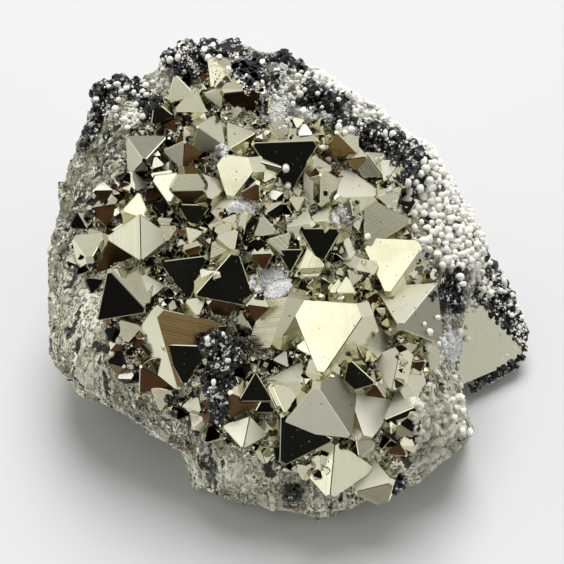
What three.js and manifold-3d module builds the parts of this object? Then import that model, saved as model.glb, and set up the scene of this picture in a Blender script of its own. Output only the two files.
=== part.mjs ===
// A pyrite specimen: octahedral pyrite crystals on a broken block of massive pyrite, with
// black sphalerite lumps, a carpet of white dolomite beads and small clusters of quartz.
// Units are millimetres, +Z is up, and the block rests on its flat broken base at z = 0.
import * as THREE from 'three';
import { ConvexGeometry } from 'three/addons/geometries/ConvexGeometry.js';
import { mergeVertices } from 'three/addons/utils/BufferGeometryUtils.js';
import Module from 'manifold-3d';

const wasm = await Module();
wasm.setup();

// Driving dimensions of the specimen.
const SPECIMEN_WIDTH = 72;
const DOME_RISE = 0.235 * SPECIMEN_WIDTH; // front of the dome above its rim
const BACK_DEPTH = 0.39 * SPECIMEN_WIDTH; // rim to the deepest point behind it
const RIM_SLOPE = 0.06; // the rim leans back by this much for each unit up the picture
const BACK_TAPER = 0.42; // and the back gets shallower by this much
const CENTRE_HEIGHT = 0.238 * SPECIMEN_WIDTH; // of the aimed-at point above the base
const ROUGHNESS = 0.9; // swell of the broken rock, either way
const SWELL_HEART = 0.2 * DOME_RISE; // in front of the aimed-at point; the swells run out from it
const SEAM = 0.3; // gap between the pyrite and what grows on it
const MERGE_REACH = 1e-4; // corners closer than this are one
const CENTRING = [-2, 0.8, 0]; // puts the origin under the middle of the specimen

// The photograph's view. Places on the front are read from it as pixels.
const PHOTO_SIZE = 564;
const SPECIMEN_PIXELS = 482;
const VIEW_ELEVATION = THREE.MathUtils.degToRad(55);
const FOCAL_PIXELS = 2.5 * PHOTO_SIZE;
const VIEW_DISTANCE = (FOCAL_PIXELS * SPECIMEN_WIDTH) / SPECIMEN_PIXELS;
const HALF_PHOTO = PHOTO_SIZE / 2;
const PIXEL = SPECIMEN_WIDTH / SPECIMEN_PIXELS;

const AIM = new THREE.Vector3(0, 0, CENTRE_HEIGHT);
const RIGHT = new THREE.Vector3(1, 0, 0);
const UP = new THREE.Vector3(0, Math.sin(VIEW_ELEVATION), Math.cos(VIEW_ELEVATION));
const TOWARDS = new THREE.Vector3(0, -Math.cos(VIEW_ELEVATION), Math.sin(VIEW_ELEVATION));
const EYE = AIM.clone().addScaledVector(TOWARDS, VIEW_DISTANCE);

// Outline of the massive block in the photograph, clockwise from the left end of its top.
const OUTLINE = [
  [99, 104], [112, 87], [135, 86], [158, 74], [178, 52], [205, 50], [232, 46], [258, 56],
  [285, 60], [312, 74], [340, 92], [368, 110], [398, 134], [424, 152], [440, 176], [456, 205],
  [470, 230], [476, 254], [468, 290], [458, 330], [452, 370], [462, 402], [472, 430],
  [446, 455], [410, 477], [365, 494], [325, 512], [272, 506], [222, 488], [197, 480],
  [186, 450], [150, 428], [112, 402], [72, 374], [54, 340], [50, 300], [56, 250], [68, 200],
  [84, 150],
];

// The field of free crystals, inside the outline.
const CRYSTAL_FIELD = [
  [128, 135], [160, 104], [180, 78], [206, 60], [228, 76], [262, 92], [300, 122], [332, 128],
  [352, 160], [400, 165], [405, 190], [412, 240], [425, 270], [440, 290], [445, 330],
  [425, 350], [425, 390], [412, 440], [392, 465], [350, 485], [280, 468], [240, 448],
  [200, 428], [150, 392], [122, 378], [112, 340], [108, 300], [72, 262], [72, 235], [90, 202],
  [125, 180],
];

// The free crystals. Each is given by the corners, in pixels, of the face that shows best, and by
// the way on the picture that this face leans, or its tilt where the face is nearly square on.
// Those that show two faces well are given by the edge between them and the faces' far corners.
// The rise is how far a crystal stands proud of the block, in pixels.
const CRYSTALS = [
  { face: [[206, 57], [231, 70], [212, 90]], lean: [-1, 1], rise: 6 },
  { face: [[220, 94], [262, 90], [249, 122]], lean: [0, -1], rise: 4 },
  { face: [[178, 72], [193, 93], [166, 108]], lean: [-1, 0], rise: 3 },
  { face: [[196, 85], [206, 111], [172, 112]], lean: [0, 1], rise: 5 },
  { face: [[202, 94], [222, 87], [221, 109]], lean: [-1, -1], rise: 2 },
  { face: [[225, 97], [241, 112], [235, 125]], lean: [-1, 0], rise: 3 },
  { edge: [[197, 129], [226, 147]], thirds: [[222, 117], [190, 150]], rise: 4 },
  { face: [[228, 149], [257, 132], [226, 122]], lean: [0, 1], rise: 2 },
  { edge: [[180, 138], [180, 168]], thirds: [[162, 158], [203, 146]], rise: 3 },
  { face: [[251, 144], [319, 141], [288, 198]], tilt: [0.05, -0.36], rise: 5 },
  { face: [[258, 160], [267, 153], [284, 168]], lean: [0, 1], rise: 10 },
  { face: [[264, 169], [276, 177], [263, 184]], tilt: [-0.3, 0.3], rise: 9 },
  { face: [[222, 154], [256, 160], [233, 197]], tilt: [-0.35, 0.35], rise: 9 },
  { face: [[150, 176], [184, 172], [170, 203]], tilt: [-0.3, 0.3], rise: 4 },
  { face: [[170, 191], [208, 190], [189, 158]], tilt: [0, 0.45], rise: 8 },
  { face: [[196, 172], [232, 184], [209, 200]], lean: [1, 1], rise: 5 },
  { face: [[209, 211], [230, 192], [236, 204]], lean: [0, 1], rise: 5 },
  { face: [[241, 197], [258, 176], [257, 208]], lean: [1, -1], rise: 5 },
  { face: [[175, 205], [212, 207], [194, 228]], lean: [0, -1], rise: 1 },
  { face: [[158, 224], [178, 226], [168, 243]], lean: [1, 1], rise: 2 },
  { face: [[124, 208], [136, 191], [152, 222]], lean: [-1, 1], rise: 5 },
  { edge: [[140, 214], [141, 261]], thirds: [[104, 232], [173, 243]], rise: 9 },
  { face: [[71, 236], [106, 231], [89, 261]], tilt: [-0.3, 0.4], rise: 6 },
  { face: [[104, 274], [150, 272], [140, 316]], tilt: [0.1, 0.4], rise: 7 },
  { face: [[142, 272], [166, 286], [149, 300]], lean: [1, 1], rise: 3 },
  { face: [[160, 261], [206, 256], [190, 301]], tilt: [-0.12, -0.1], rise: 4 },
  { face: [[239, 248], [254, 305], [195, 298]], tilt: [0.18, 0.05], rise: 9 },
  { face: [[202, 269], [219, 270], [201, 294]], lean: [-1, 1], rise: 6 },
  { face: [[184, 299], [206, 296], [198, 318]], tilt: [-0.3, 0.4], rise: 6 },
  { edge: [[154, 308], [178, 391]], thirds: [[142, 354], [218, 321]], rise: 2 },
  { face: [[243, 311], [256, 339], [226, 334]], tilt: [-0.1, -0.3], rise: 3 },
  { face: [[268, 276], [305, 346], [248, 356]], tilt: [-0.55, 0.25], rise: 8 },
  { face: [[289, 297], [366, 305], [321, 378]], tilt: [-0.22, 0.16], rise: 16 },
  { face: [[352, 306], [391, 341], [362, 374]], lean: [1, 1], rise: 6 },
  { edge: [[437, 283], [400, 328]], thirds: [[376, 282], [442, 350]], rise: 6 },
  { face: [[359, 238], [426, 242], [388, 293]], tilt: [0.05, 0.38], rise: 9 },
  { face: [[361, 195], [413, 223], [366, 247]], tilt: [0.12, 0.42], rise: 6 },
  { face: [[341, 164], [385, 196], [338, 195]], lean: [0, 1], rise: 5 },
  { face: [[326, 164], [346, 186], [322, 213]], lean: [1, 0], rise: 4 },
  { face: [[302, 167], [321, 196], [308, 212]], lean: [-1, 0], rise: 4 },
  { face: [[366, 151], [384, 178], [355, 179]], tilt: [0.1, -0.4], rise: 4 },
  { face: [[402, 160], [381, 163], [379, 181]], lean: [-1, 1], rise: 5 },
  { face: [[336, 131], [357, 155], [326, 158]], tilt: [0, -0.42], rise: 4 },
  { face: [[377, 197], [402, 186], [395, 214]], lean: [1, -1], rise: 3 },
  { face: [[283, 226], [329, 203], [330, 225]], lean: [0, 1], rise: 5 },
  { face: [[300, 228], [341, 229], [321, 264]], tilt: [0, -0.12], rise: 5 },
  { face: [[308, 246], [327, 267], [300, 268]], lean: [0, 1], rise: 8 },
  { face: [[340, 263], [368, 246], [355, 269]], lean: [0, 1], rise: 4 },
  { face: [[349, 275], [355, 291], [333, 294]], lean: [0, 1], rise: 6 },
  { face: [[350, 268], [362, 275], [352, 290]], lean: [1, 0], rise: 3 },
  { face: [[262, 376], [312, 352], [306, 393]], lean: [0, 1], rise: 3 },
  { face: [[272, 384], [318, 382], [288, 420]], lean: [-1, 1], rise: 3 },
  { edge: [[315, 384], [352, 438]], thirds: [[276, 423], [364, 383]], rise: 6 },
  { face: [[352, 389], [396, 400], [366, 446]], tilt: [0.3, 0.3], rise: 11 },
  { face: [[374, 381], [385, 402], [366, 395]], lean: [0, -1], rise: 9 },
  { face: [[346, 351], [373, 391], [348, 392]], lean: [-1, -1], rise: 6 },
  { face: [[372, 356], [396, 342], [391, 396]], lean: [1, 1], rise: 6 },
  { face: [[382, 421], [398, 388], [426, 408]], tilt: [0.2, 0.45], rise: 6 },
  { face: [[400, 372], [428, 376], [416, 400]], lean: [1, 1], rise: 4 },
  { face: [[231, 388], [255, 404], [231, 425]], lean: [1, -1], rise: 4 },
  { face: [[240, 401], [271, 400], [256, 372]], tilt: [0, -0.1], rise: 8 },
  { face: [[254, 413], [276, 412], [266, 394]], tilt: [0, -0.15], rise: 5 },
  { edge: [[250, 416], [243, 449]], thirds: [[228, 425], [262, 436]], rise: 3 },
  { face: [[278, 418], [340, 440], [276, 466]], tilt: [-0.1, -0.3], rise: 2 },
  { face: [[337, 443], [377, 468], [326, 498]], tilt: [-0.1, 0.45], rise: 5 },
  { face: [[346, 498], [389, 455], [386, 482]], lean: [1, 0], rise: 2 },
  { face: [[90, 212], [121, 199], [104, 229]], tilt: [-0.3, -0.4], rise: 2 },
  { face: [[125, 135], [161, 141], [145, 163]], lean: [1, 1], rise: 4 },
  { face: [[132, 168], [148, 187], [136, 192]], lean: [1, 0], rise: 3 },
  { face: [[159, 99], [171, 113], [150, 131]], lean: [-1, 1], rise: 3 },
  { face: [[250, 236], [280, 231], [262, 216]], lean: [0, 1], rise: 4 },
  { face: [[266, 240], [292, 232], [286, 258]], tilt: [0.3, 0.2], rise: 4 },
  { face: [[216, 236], [238, 228], [234, 252]], tilt: [0.1, 0.4], rise: 5 },
  { face: [[213, 240], [229, 250], [209, 260]], lean: [-1, 1], rise: 6 },
  { face: [[252, 254], [272, 252], [263, 274]], lean: [-1, -1], rise: 4 },
  { face: [[183, 252], [202, 244], [196, 262]], lean: [0, -1], rise: 4 },
  { face: [[186, 226], [203, 231], [188, 246]], lean: [-1, 0], rise: 4 },
  { face: [[310, 355], [320, 378], [306, 376]], lean: [-1, -1], rise: 5 },
  { face: [[408, 414], [418, 434], [400, 430]], tilt: [0.4, -0.2], rise: 4 },
  { face: [[270, 130], [288, 126], [284, 144]], tilt: [0.1, 0.4], rise: 2 },
  { face: [[280, 250], [302, 246], [288, 276]], tilt: [-0.4, -0.2], rise: 4 },
  { face: [[340, 232], [366, 242], [350, 260]], tilt: [0.2, 0.4], rise: 3 },
  { face: [[150, 386], [176, 392], [160, 412]], tilt: [-0.3, -0.3], rise: 1 },
  { face: [[118, 318], [142, 326], [126, 346]], tilt: [-0.3, 0.1], rise: 1 },
];

// The large corner crystal that stands out of the block low on the right.
const CORNER_CRYSTAL = { face: [[458, 274], [532, 353], [425, 402]], tilt: [0.3, 0.12], depth: -5 };
const CORNER_TRIM = 0.12;

// Crystals that fill in between those above, strewn over a part of the picture given by its
// first corner and its size in pixels.
const DRUSE_COUNT = 32;
const DRUSE_RADIUS = [1.6, 3.4];
const DRUSE_CORNER = [60, 60];
const DRUSE_EXTENT = [400, 440];
const SUNK = 0.45; // share of a crystal's half height that is sunk in the block

// The sphalerite: each patch is a run of lumps, each with its middle and radius in pixels.
const SPHALERITE = {
  sphalerite_top_left: [[104, 94, 15], [121, 86, 12], [139, 89, 13], [101, 114, 11], [92, 132, 10]],
  sphalerite_crown: [
    [171, 58, 11], [187, 55, 16], [210, 52, 15], [232, 54, 16], [250, 68, 16], [262, 88, 12],
  ],
  sphalerite_back_ridge: [[283, 60, 11], [298, 68, 11]],
  sphalerite_upper_right: [[310, 92, 14], [330, 103, 13]],
  sphalerite_shoulder: [
    [354, 128, 13], [374, 135, 14], [394, 144, 15], [412, 154, 14], [404, 174, 13],
  ],
  sphalerite_right_knob: [[440, 298, 14], [453, 289, 12]],
  sphalerite_front: [[213, 344, 14], [230, 349, 14], [221, 368, 14], [216, 388, 13], [219, 407, 10]],
  sphalerite_base_knob: [[292, 492, 11]],
  sphalerite_foot_knob: [[396, 482, 12]],
};
const LUMP_SUNK = 0.1; // share of a lump's radius by which its middle is under the skin
const FINE_LUMP = 13.5; // lumps over this radius in pixels have finer faces
const LUMP_BUMP = 0.14; // unevenness of a lump, as a share of its radius
const LUMP_LEVELLING = 0.75; // how far the lumps of a patch keep to their common depth
const LUMP_DETAIL = [1, 2]; // how often the faces of a small and of a large lump are divided

// The sphalerite rim along the free edge of the corner crystal.
const CORNER_RIM = [
  [478, 266, 13], [489, 281, 14], [500, 298, 14], [510, 315, 13], [517, 332, 12],
  [516, 349, 12], [505, 363, 13], [490, 374, 13], [476, 382, 12],
];
const CORNER_RIM_DEPTH = -6;
const POCKETED = 'sphalerite_front'; // this patch is set into the pyrite, and the rest lie on it
const POCKETED_RISE = 16; // and it stands this far over the skin, in pixels

// The dolomite crust on the upper right flank, with its balls. It starts further from the
// middle of the picture at its upper end than at its lower one.
const CRUST_TURN = [THREE.MathUtils.degToRad(2), THREE.MathUtils.degToRad(84)];
const CRUST_TIP = [THREE.MathUtils.degToRad(42), THREE.MathUtils.degToRad(112)];
const CRUST_TIP_SHIFT = THREE.MathUtils.degToRad(24);
const CRUST_THICKNESS = 0.6;
const CRUST_KNOB = 0.8;
const CRUST_STEPS = [22, 9];
const CRUST_BALLS = 8;
const CRUST_BALL_RADIUS = [0.8, 1.1];
const CRUST_BALL_RANGE = [[0.04, 0.96], [0.06, 0.94]]; // shares of the crust that they lie in

// The quartz clusters: middle and reach in pixels.
const QUARTZ = [[241, 214, 14], [268, 285, 19], [347, 217, 14], [273, 113, 12], [451, 345, 13]];
const QUARTZ_NEEDLES = 4;
const QUARTZ_THICKNESS = 0.26; // radius of a needle, as a share of the cluster's reach
const QUARTZ_CORE = 0.5; // radius of the ball that joins them, in the same measure
const QUARTZ_PROUD = 0.45; // height of its middle over the skin, in the same measure
const NEEDLE_SIDES = 6;
const NEEDLE_SHOULDER = 0.72; // share of a needle's length at which its point starts
const NEEDLE_LEAN = [0.35, 1.1]; // radians away from the line towards the eye
const NEEDLE_LENGTH = [0.85, 1.2]; // in the same measure as its radius
const NEEDLE_SCATTER = 0.6; // unevenness of the steps from one needle to the next

// Each part's random numbers start from its own seed.
const SEED = { druse: 7, crust: 30, balls: 31, quartz: 50, lumps: 100, cornerRim: 2000 };

const COLOURS = {
  pyrite: { color: 0xbcb68c, roughness: 0.18, metalness: 1 },
  sphalerite: { color: 0x18181b, roughness: 0.35, metalness: 0 },
  dolomite: { color: 0xe9e8e0, roughness: 0.6, metalness: 0 },
  quartz: { color: 0xc9ccd0, roughness: 0.15, metalness: 0 },
};

// Seeded random numbers from 0 to 1.
function randomFrom(seed) {
  let state = seed;
  return () => {
    state = (state + 0x6d2b79f5) | 0;
    let t = Math.imul(state ^ (state >>> 15), 1 | state);
    t = (t + Math.imul(t ^ (t >>> 7), 61 | t)) ^ t;
    return ((t ^ (t >>> 14)) >>> 0) / 4294967296;
  };
}

// A point from picture axes: u to the right, v up the picture and w towards the eye.
function fromPicture(u, v, w) {
  return AIM.clone().addScaledVector(RIGHT, u).addScaledVector(UP, v).addScaledVector(TOWARDS, w);
}

// Picture axes of the point behind a pixel, w in front of the aimed-at point.
function pixelAt(x, y, w) {
  const scale = (VIEW_DISTANCE - w) / FOCAL_PIXELS;
  return { u: (x - HALF_PHOTO) * scale, v: (HALF_PHOTO - y) * scale };
}

// The block's rim, as its distance from the centre at evenly spaced angles.
const RIM_STEPS = 360;
const RIM = makeRim();

function makeRim() {
  const curve = new THREE.CatmullRomCurve3(
    OUTLINE.map(([x, y]) => {
      const v = (HALF_PHOTO - y) * PIXEL;
      const p = pixelAt(x, y, -RIM_SLOPE * v);
      return new THREE.Vector3(p.u, p.v, 0);
    }), true, 'centripetal');
  const points = curve.getSpacedPoints(4 * RIM_STEPS);
  const radii = new Array(RIM_STEPS).fill(0);
  for (const p of points) {
    const step = Math.round((angleOf(p.x, p.y) / (2 * Math.PI)) * RIM_STEPS) % RIM_STEPS;
    radii[step] = Math.max(radii[step], Math.hypot(p.x, p.y));
  }
  return radii;
}

function angleOf(u, v) {
  return (Math.atan2(v, u) + 2 * Math.PI) % (2 * Math.PI);
}

function rimRadius(angle) {
  const at = ((angle / (2 * Math.PI)) * RIM_STEPS + RIM_STEPS) % RIM_STEPS;
  const low = Math.floor(at);
  return THREE.MathUtils.lerp(RIM[low % RIM_STEPS], RIM[(low + 1) % RIM_STEPS], at - low);
}

// Slow swells of the rock, from -1 to 1.
function swell(p) {
  return (Math.sin(0.21 * p.x + 0.13 * p.y + 1.3) + Math.sin(0.17 * p.y - 0.23 * p.z + 0.4)
    + Math.sin(0.41 * p.z + 0.29 * p.x - 0.7) + Math.sin(0.47 * p.y + 0.38 * p.x + 2.1)
    + Math.sin(0.63 * p.x - 0.52 * p.z + 4.0)) / 5;
}

// The dome's profile: full at its middle, falling steeply to the rim.
const FRONT_POWER = 2.5;
const BACK_POWER = 2.8;

function frontDepth(u, v) {
  const share = Math.min(1, Math.hypot(u, v) / rimRadius(angleOf(u, v)));
  return -RIM_SLOPE * v + DOME_RISE * (1 - share ** FRONT_POWER) ** (1 / FRONT_POWER);
}

// Where the eye's ray through a pixel meets the front of the block, found step by step.
const RAY_STEPS = 12;

function onFront(x, y) {
  let w = 0;
  for (let i = 0; i < RAY_STEPS; i += 1) {
    const p = pixelAt(x, y, w);
    w = 0.5 * w + 0.5 * frontDepth(p.u, p.v);
  }
  return { ...pixelAt(x, y, w), w };
}

// A point of the block's skin: turn goes round the picture and tip from 0 at the front to pi.
function skinPoint(turn, tip, grow) {
  const rim = rimRadius(turn);
  const front = tip <= Math.PI / 2;
  const power = front ? FRONT_POWER : BACK_POWER;
  const across = Math.sin(tip) ** (2 / power);
  const u = across * rim * Math.cos(turn);
  const v = across * rim * Math.sin(turn);
  const depth = front ? DOME_RISE : BACK_TAPER * v - BACK_DEPTH;
  const along = Math.abs(Math.cos(tip)) ** (2 / power) * depth;
  const p = fromPicture(u, v, -RIM_SLOPE * v + along);
  const out = p.clone().sub(fromPicture(0, 0, SWELL_HEART)).normalize();
  return p.addScaledVector(out, ROUGHNESS * swell(p) + grow);
}

function closedMesh(points, faces) {
  return new THREE.BufferGeometry().setFromPoints(points).setIndex(faces);
}

function solidFrom(geometry) {
  const bare = geometry.clone();
  bare.deleteAttribute('normal');
  bare.deleteAttribute('uv');
  const merged = mergeVertices(bare, MERGE_REACH);
  return new wasm.Manifold(new wasm.Mesh({
    numProp: 3,
    vertProperties: new Float32Array(merged.attributes.position.array),
    triVerts: new Uint32Array(merged.index.array),
  }));
}

function geometryFrom(solid) {
  const mesh = solid.getMesh();
  const geometry = new THREE.BufferGeometry();
  geometry.setAttribute('position', new THREE.Float32BufferAttribute(mesh.vertProperties, 3));
  geometry.setIndex(Array.from(mesh.triVerts));
  const flat = geometry.toNonIndexed();
  flat.computeVertexNormals();
  return flat;
}

function joined(solids) {
  return wasm.Manifold.union(solids);
}

// The block's skin as a solid, cut flat where it rests.
const TURNS = 40;
const FRONT_RINGS = 7;
const BACK_RINGS = 6;

function blockSolid(grow) {
  const rings = FRONT_RINGS + BACK_RINGS;
  const points = [skinPoint(0, 0, grow)];
  for (let r = 1; r < rings; r += 1) {
    for (let t = 0; t < TURNS; t += 1) {
      const turn = (2 * Math.PI * (t + 0.5 * (r % 2))) / TURNS;
      points.push(skinPoint(turn, (Math.PI * r) / rings, grow));
    }
  }
  points.push(skinPoint(0, Math.PI, grow));
  const faces = [];
  const at = (r, t) => 1 + (r - 1) * TURNS + (t % TURNS);
  for (let t = 0; t < TURNS; t += 1) {
    faces.push(0, at(1, t), at(1, t + 1));
    faces.push(points.length - 1, at(rings - 1, t + 1), at(rings - 1, t));
  }
  for (let r = 1; r < rings - 1; r += 1) {
    for (let t = 0; t < TURNS; t += 1) {
      const shift = r % 2;
      if (shift) {
        faces.push(at(r, t), at(r + 1, t), at(r + 1, t + 1));
        faces.push(at(r, t), at(r + 1, t + 1), at(r, t + 1));
      } else {
        faces.push(at(r, t), at(r + 1, t), at(r, t + 1));
        faces.push(at(r, t + 1), at(r + 1, t), at(r + 1, t + 1));
      }
    }
  }
  return solidFrom(closedMesh(points, faces));
}

// What lies under the resting plane.
function ground() {
  const size = 4 * SPECIMEN_WIDTH;
  const box = new THREE.BoxGeometry(size, size, size);
  box.translate(0, 0, -size / 2);
  return solidFrom(box);
}

// Directions seen from a place: the line of sight, and across and up the picture.
function viewFrom(place) {
  const sight = EYE.clone().sub(place).normalize();
  const side = new THREE.Vector3().crossVectors(UP, sight).normalize();
  const top = new THREE.Vector3().crossVectors(sight, side);
  return { sight, side, top };
}

function meanPixel(pixels) {
  return [0, 1].map((k) => pixels.reduce((sum, p) => sum + p[k], 0) / pixels.length);
}

// An octahedron given by the pixels of one edge and of the far corners of the two faces that
// meet there. The far corners are opposite each other, so their middle is the centre. The three
// half diagonals are equal and square to each other, which gives the third from the other two.
function octahedronFromEdge({ edge, thirds, rise }) {
  const middlePixel = meanPixel(thirds);
  const level = onFront(...middlePixel).w + rise * PIXEL;
  const place = pixelAt(...middlePixel, level);
  const centre = fromPicture(place.u, place.v, level);
  const { sight, side, top } = viewFrom(centre);
  const scale = (VIEW_DISTANCE - level) / FOCAL_PIXELS;
  const seen = edge.map((p) => [(p[0] - middlePixel[0]) * scale, (middlePixel[1] - p[1]) * scale]);
  const squares = seen.map(([x, y]) => [x * x - y * y, 2 * x * y]);
  const real = -(squares[0][0] + squares[1][0]);
  const imaginary = -(squares[0][1] + squares[1][1]);
  const size = Math.sqrt(Math.hypot(real, imaginary));
  const angle = Math.atan2(imaginary, real) / 2;
  seen.push([size * Math.cos(angle), size * Math.sin(angle)]);
  const radius = Math.sqrt(seen.reduce((sum, [x, y]) => sum + x * x + y * y, 0) / 2);
  const depths = seen.map(([x, y]) => Math.sqrt(Math.max(0, radius ** 2 - x * x - y * y)));
  const across = seen[0][0] * seen[1][0] + seen[0][1] * seen[1][1];
  if (across > 0) depths[1] = -depths[1];
  const third = seen[2][0] * seen[0][0] + seen[2][1] * seen[0][1];
  if (third * depths[0] > 0) depths[2] = -depths[2];
  const facing = depths[0] + depths[1] >= 0 ? 1 : -1;
  const arms = seen.map(([x, y], i) => side.clone().multiplyScalar(x).addScaledVector(top, y)
    .addScaledVector(sight, facing * depths[i]));
  return { centre, arms, radius };
}

// An octahedron given by the three pixels of one face. A regular triangle seen at a slant is
// squeezed along one line, and the squeeze gives the slant.
function octahedronFromFace({ face, lean, tilt, rise = 0, depth }) {
  const middlePixel = meanPixel(face);
  const level = depth === undefined ? onFront(...middlePixel).w : depth;
  const place = pixelAt(...middlePixel, level);
  const middle = fromPicture(place.u, place.v, level);
  const { sight, side, top } = viewFrom(middle);
  const scale = (VIEW_DISTANCE - level) / FOCAL_PIXELS;
  const corners = face.map((p, i) => ({
    x: Math.cos((2 * Math.PI * i) / 3),
    y: Math.sin((2 * Math.PI * i) / 3),
    seen: [(p[0] - middlePixel[0]) * scale, (middlePixel[1] - p[1]) * scale],
  }));
  const made = tilt ? faceWithTilt(corners, tilt) : faceFromSqueeze(corners, lean);
  const turned = (v) => side.clone().multiplyScalar(v.x).addScaledVector(top, v.y)
    .addScaledVector(sight, v.z);
  const normal = turned(made.normal);
  const inner = made.radius / Math.SQRT2;
  const proud = depth === undefined ? rise * PIXEL + (1 - SUNK) * inner * normal.dot(sight) : 0;
  const centre = middle.clone().addScaledVector(sight, proud).addScaledVector(normal, -inner);
  const arms = made.corners.map((corner) => turned(corner).addScaledVector(normal, inner));
  return { centre, arms, radius: made.radius * Math.sqrt(1.5) };
}

// The face's corners, in picture axes about its middle, from the squeeze of its triangle.
function faceFromSqueeze(corners, lean) {
  const sum = (f) => (2 / 3) * corners.reduce((total, corner) => total + f(corner), 0);
  const [a, b] = [sum((k) => k.seen[0] * k.x), sum((k) => k.seen[0] * k.y)];
  const [c, d] = [sum((k) => k.seen[1] * k.x), sum((k) => k.seen[1] * k.y)];
  const angle = 0.5 * Math.atan2(2 * (a * b + c * d), a * a + c * c - b * b - d * d);
  const [cos, sin] = [Math.cos(angle), Math.sin(angle)];
  const long = new THREE.Vector3(a * cos + b * sin, c * cos + d * sin, 0);
  const short = new THREE.Vector3(-a * sin + b * cos, -c * sin + d * cos, 0);
  const radius = long.length();
  const hidden = Math.sqrt(Math.max(0, radius ** 2 - short.lengthSq()));
  const choices = [1, -1].map((sign) => {
    const tilted = short.clone().setZ(sign * hidden);
    const normal = new THREE.Vector3().crossVectors(long, tilted).normalize();
    if (normal.z < 0) normal.negate();
    return { tilted, normal, score: normal.x * lean[0] + normal.y * lean[1] };
  });
  const { tilted, normal } = choices[0].score >= choices[1].score ? choices[0] : choices[1];
  const placed = corners.map(({ x, y }) => long.clone().multiplyScalar(x * cos + y * sin)
    .addScaledVector(tilted, -x * sin + y * cos));
  return { normal, radius, corners: placed };
}

// The same where the normal's way across and up the picture is given. The regular triangle in
// that plane is turned and sized to fit the corners that are seen.
function faceWithTilt(corners, [across, upwards]) {
  const normal = new THREE.Vector3(across, upwards, Math.sqrt(1 - across ** 2 - upwards ** 2));
  const turn = new THREE.Quaternion().setFromUnitVectors(new THREE.Vector3(0, 0, 1), normal);
  const [a1, b1] = corners[1].seen;
  const [a0, b0] = corners[0].seen;
  const [a2, b2] = corners[2].seen;
  const hand = Math.sign((a1 - a0) * (b2 - b0) - (b1 - b0) * (a2 - a0));
  let [along, athwart, weight] = [0, 0, 0];
  for (const { x, y, seen } of corners) {
    const flat = new THREE.Vector3(x, hand * y, 0).applyQuaternion(turn);
    const turned = new THREE.Vector3(-hand * y, x, 0).applyQuaternion(turn);
    along += flat.x * seen[0] + flat.y * seen[1];
    athwart += turned.x * seen[0] + turned.y * seen[1];
    weight += flat.x ** 2 + flat.y ** 2;
  }
  const radius = Math.hypot(along, athwart) / weight;
  const angle = Math.atan2(athwart, along);
  const placed = corners.map(({ x, y }) => {
    const flat = new THREE.Vector3(x, hand * y, 0).applyAxisAngle(new THREE.Vector3(0, 0, 1), angle);
    return flat.multiplyScalar(radius).applyQuaternion(turn);
  });
  return { normal, radius, corners: placed };
}

// An octahedron grown by a little, with its corners cut off by the cube's faces.
function crystalSolid({ centre, arms, radius }, trim, grow = 0) {
  const larger = 1 + (grow * Math.sqrt(3)) / radius;
  const corners = arms.flatMap((arm) => [arm.clone(), arm.clone().negate()]);
  const points = [];
  corners.forEach((corner, i) => {
    corners.forEach((other, j) => {
      if (i === j || i === (j ^ 1)) return;
      const p = corner.clone().lerp(other, trim).multiplyScalar(larger).add(centre);
      points.push(p);
    });
  });
  return solidFrom(new ConvexGeometry(points));
}

// Whether a pixel is inside a closed outline.
function inside(x, y, outline) {
  let hit = false;
  outline.forEach(([x1, y1], i) => {
    const [x2, y2] = outline[(i + 1) % outline.length];
    if (y1 > y !== y2 > y && x < ((x2 - x1) * (y - y1)) / (y2 - y1) + x1) hit = !hit;
  });
  return hit;
}

function randomTurn(random) {
  const q = new THREE.Quaternion(random() - 0.5, random() - 0.5, random() - 0.5, random() - 0.5);
  return q.normalize();
}

// Small crystals strewn over the field, half sunk in the block.
function druse(count, seed) {
  const random = randomFrom(seed);
  const found = [];
  while (found.length < count) {
    const [x, y] = DRUSE_CORNER.map((low, k) => low + DRUSE_EXTENT[k] * random());
    const radius = THREE.MathUtils.lerp(...DRUSE_RADIUS, random() ** 2);
    const turn = randomTurn(random);
    if (!inside(x, y, CRYSTAL_FIELD)) continue;
    const seat = onFront(x, y);
    const arms = [0, 1, 2].map((axis) => (
      new THREE.Vector3().setComponent(axis, radius).applyQuaternion(turn)
    ));
    found.push({ centre: fromPicture(seat.u, seat.v, seat.w), arms, radius });
  }
  return found;
}

const freeCrystals = CRYSTALS.map((c) => (c.edge ? octahedronFromEdge(c) : octahedronFromFace(c)));
const cornerCrystal = octahedronFromFace(CORNER_CRYSTAL);
const druseCrystals = druse(DRUSE_COUNT, SEED.druse);

function allCrystals(grow) {
  return joined([
    ...freeCrystals.map((c) => crystalSolid(c, 0, grow)),
    ...druseCrystals.map((c) => crystalSolid(c, 0, grow)),
    crystalSolid(cornerCrystal, CORNER_TRIM, grow),
  ]);
}

function namedMesh(name, solid, look) {
  const mesh = new THREE.Mesh(geometryFrom(solid), new THREE.MeshStandardMaterial(look));
  mesh.name = name;
  return mesh;
}

// The largest body of a solid. What was sealed inside it is filled.
function largestBody(solid) {
  const bodies = solid.decompose();
  return bodies.reduce((best, body) => (body.volume() > best.volume() ? body : best));
}

// Uneven ball of sphalerite.
function lumpSolid(centre, radius, seed, grow = 0) {
  const ball = new THREE.OctahedronGeometry(1, LUMP_DETAIL[radius >= FINE_LUMP * PIXEL ? 1 : 0]);
  ball.deleteAttribute('normal');
  ball.deleteAttribute('uv');
  const merged = mergeVertices(ball, MERGE_REACH);
  const places = merged.attributes.position;
  const random = randomFrom(seed);
  const p = new THREE.Vector3();
  for (let i = 0; i < places.count; i += 1) {
    const reach = radius * (1 + LUMP_BUMP * (2 * random() - 1)) + grow;
    p.fromBufferAttribute(places, i).multiplyScalar(reach).add(centre);
    places.setXYZ(i, p.x, p.y, p.z);
  }
  return solidFrom(merged);
}

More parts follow.
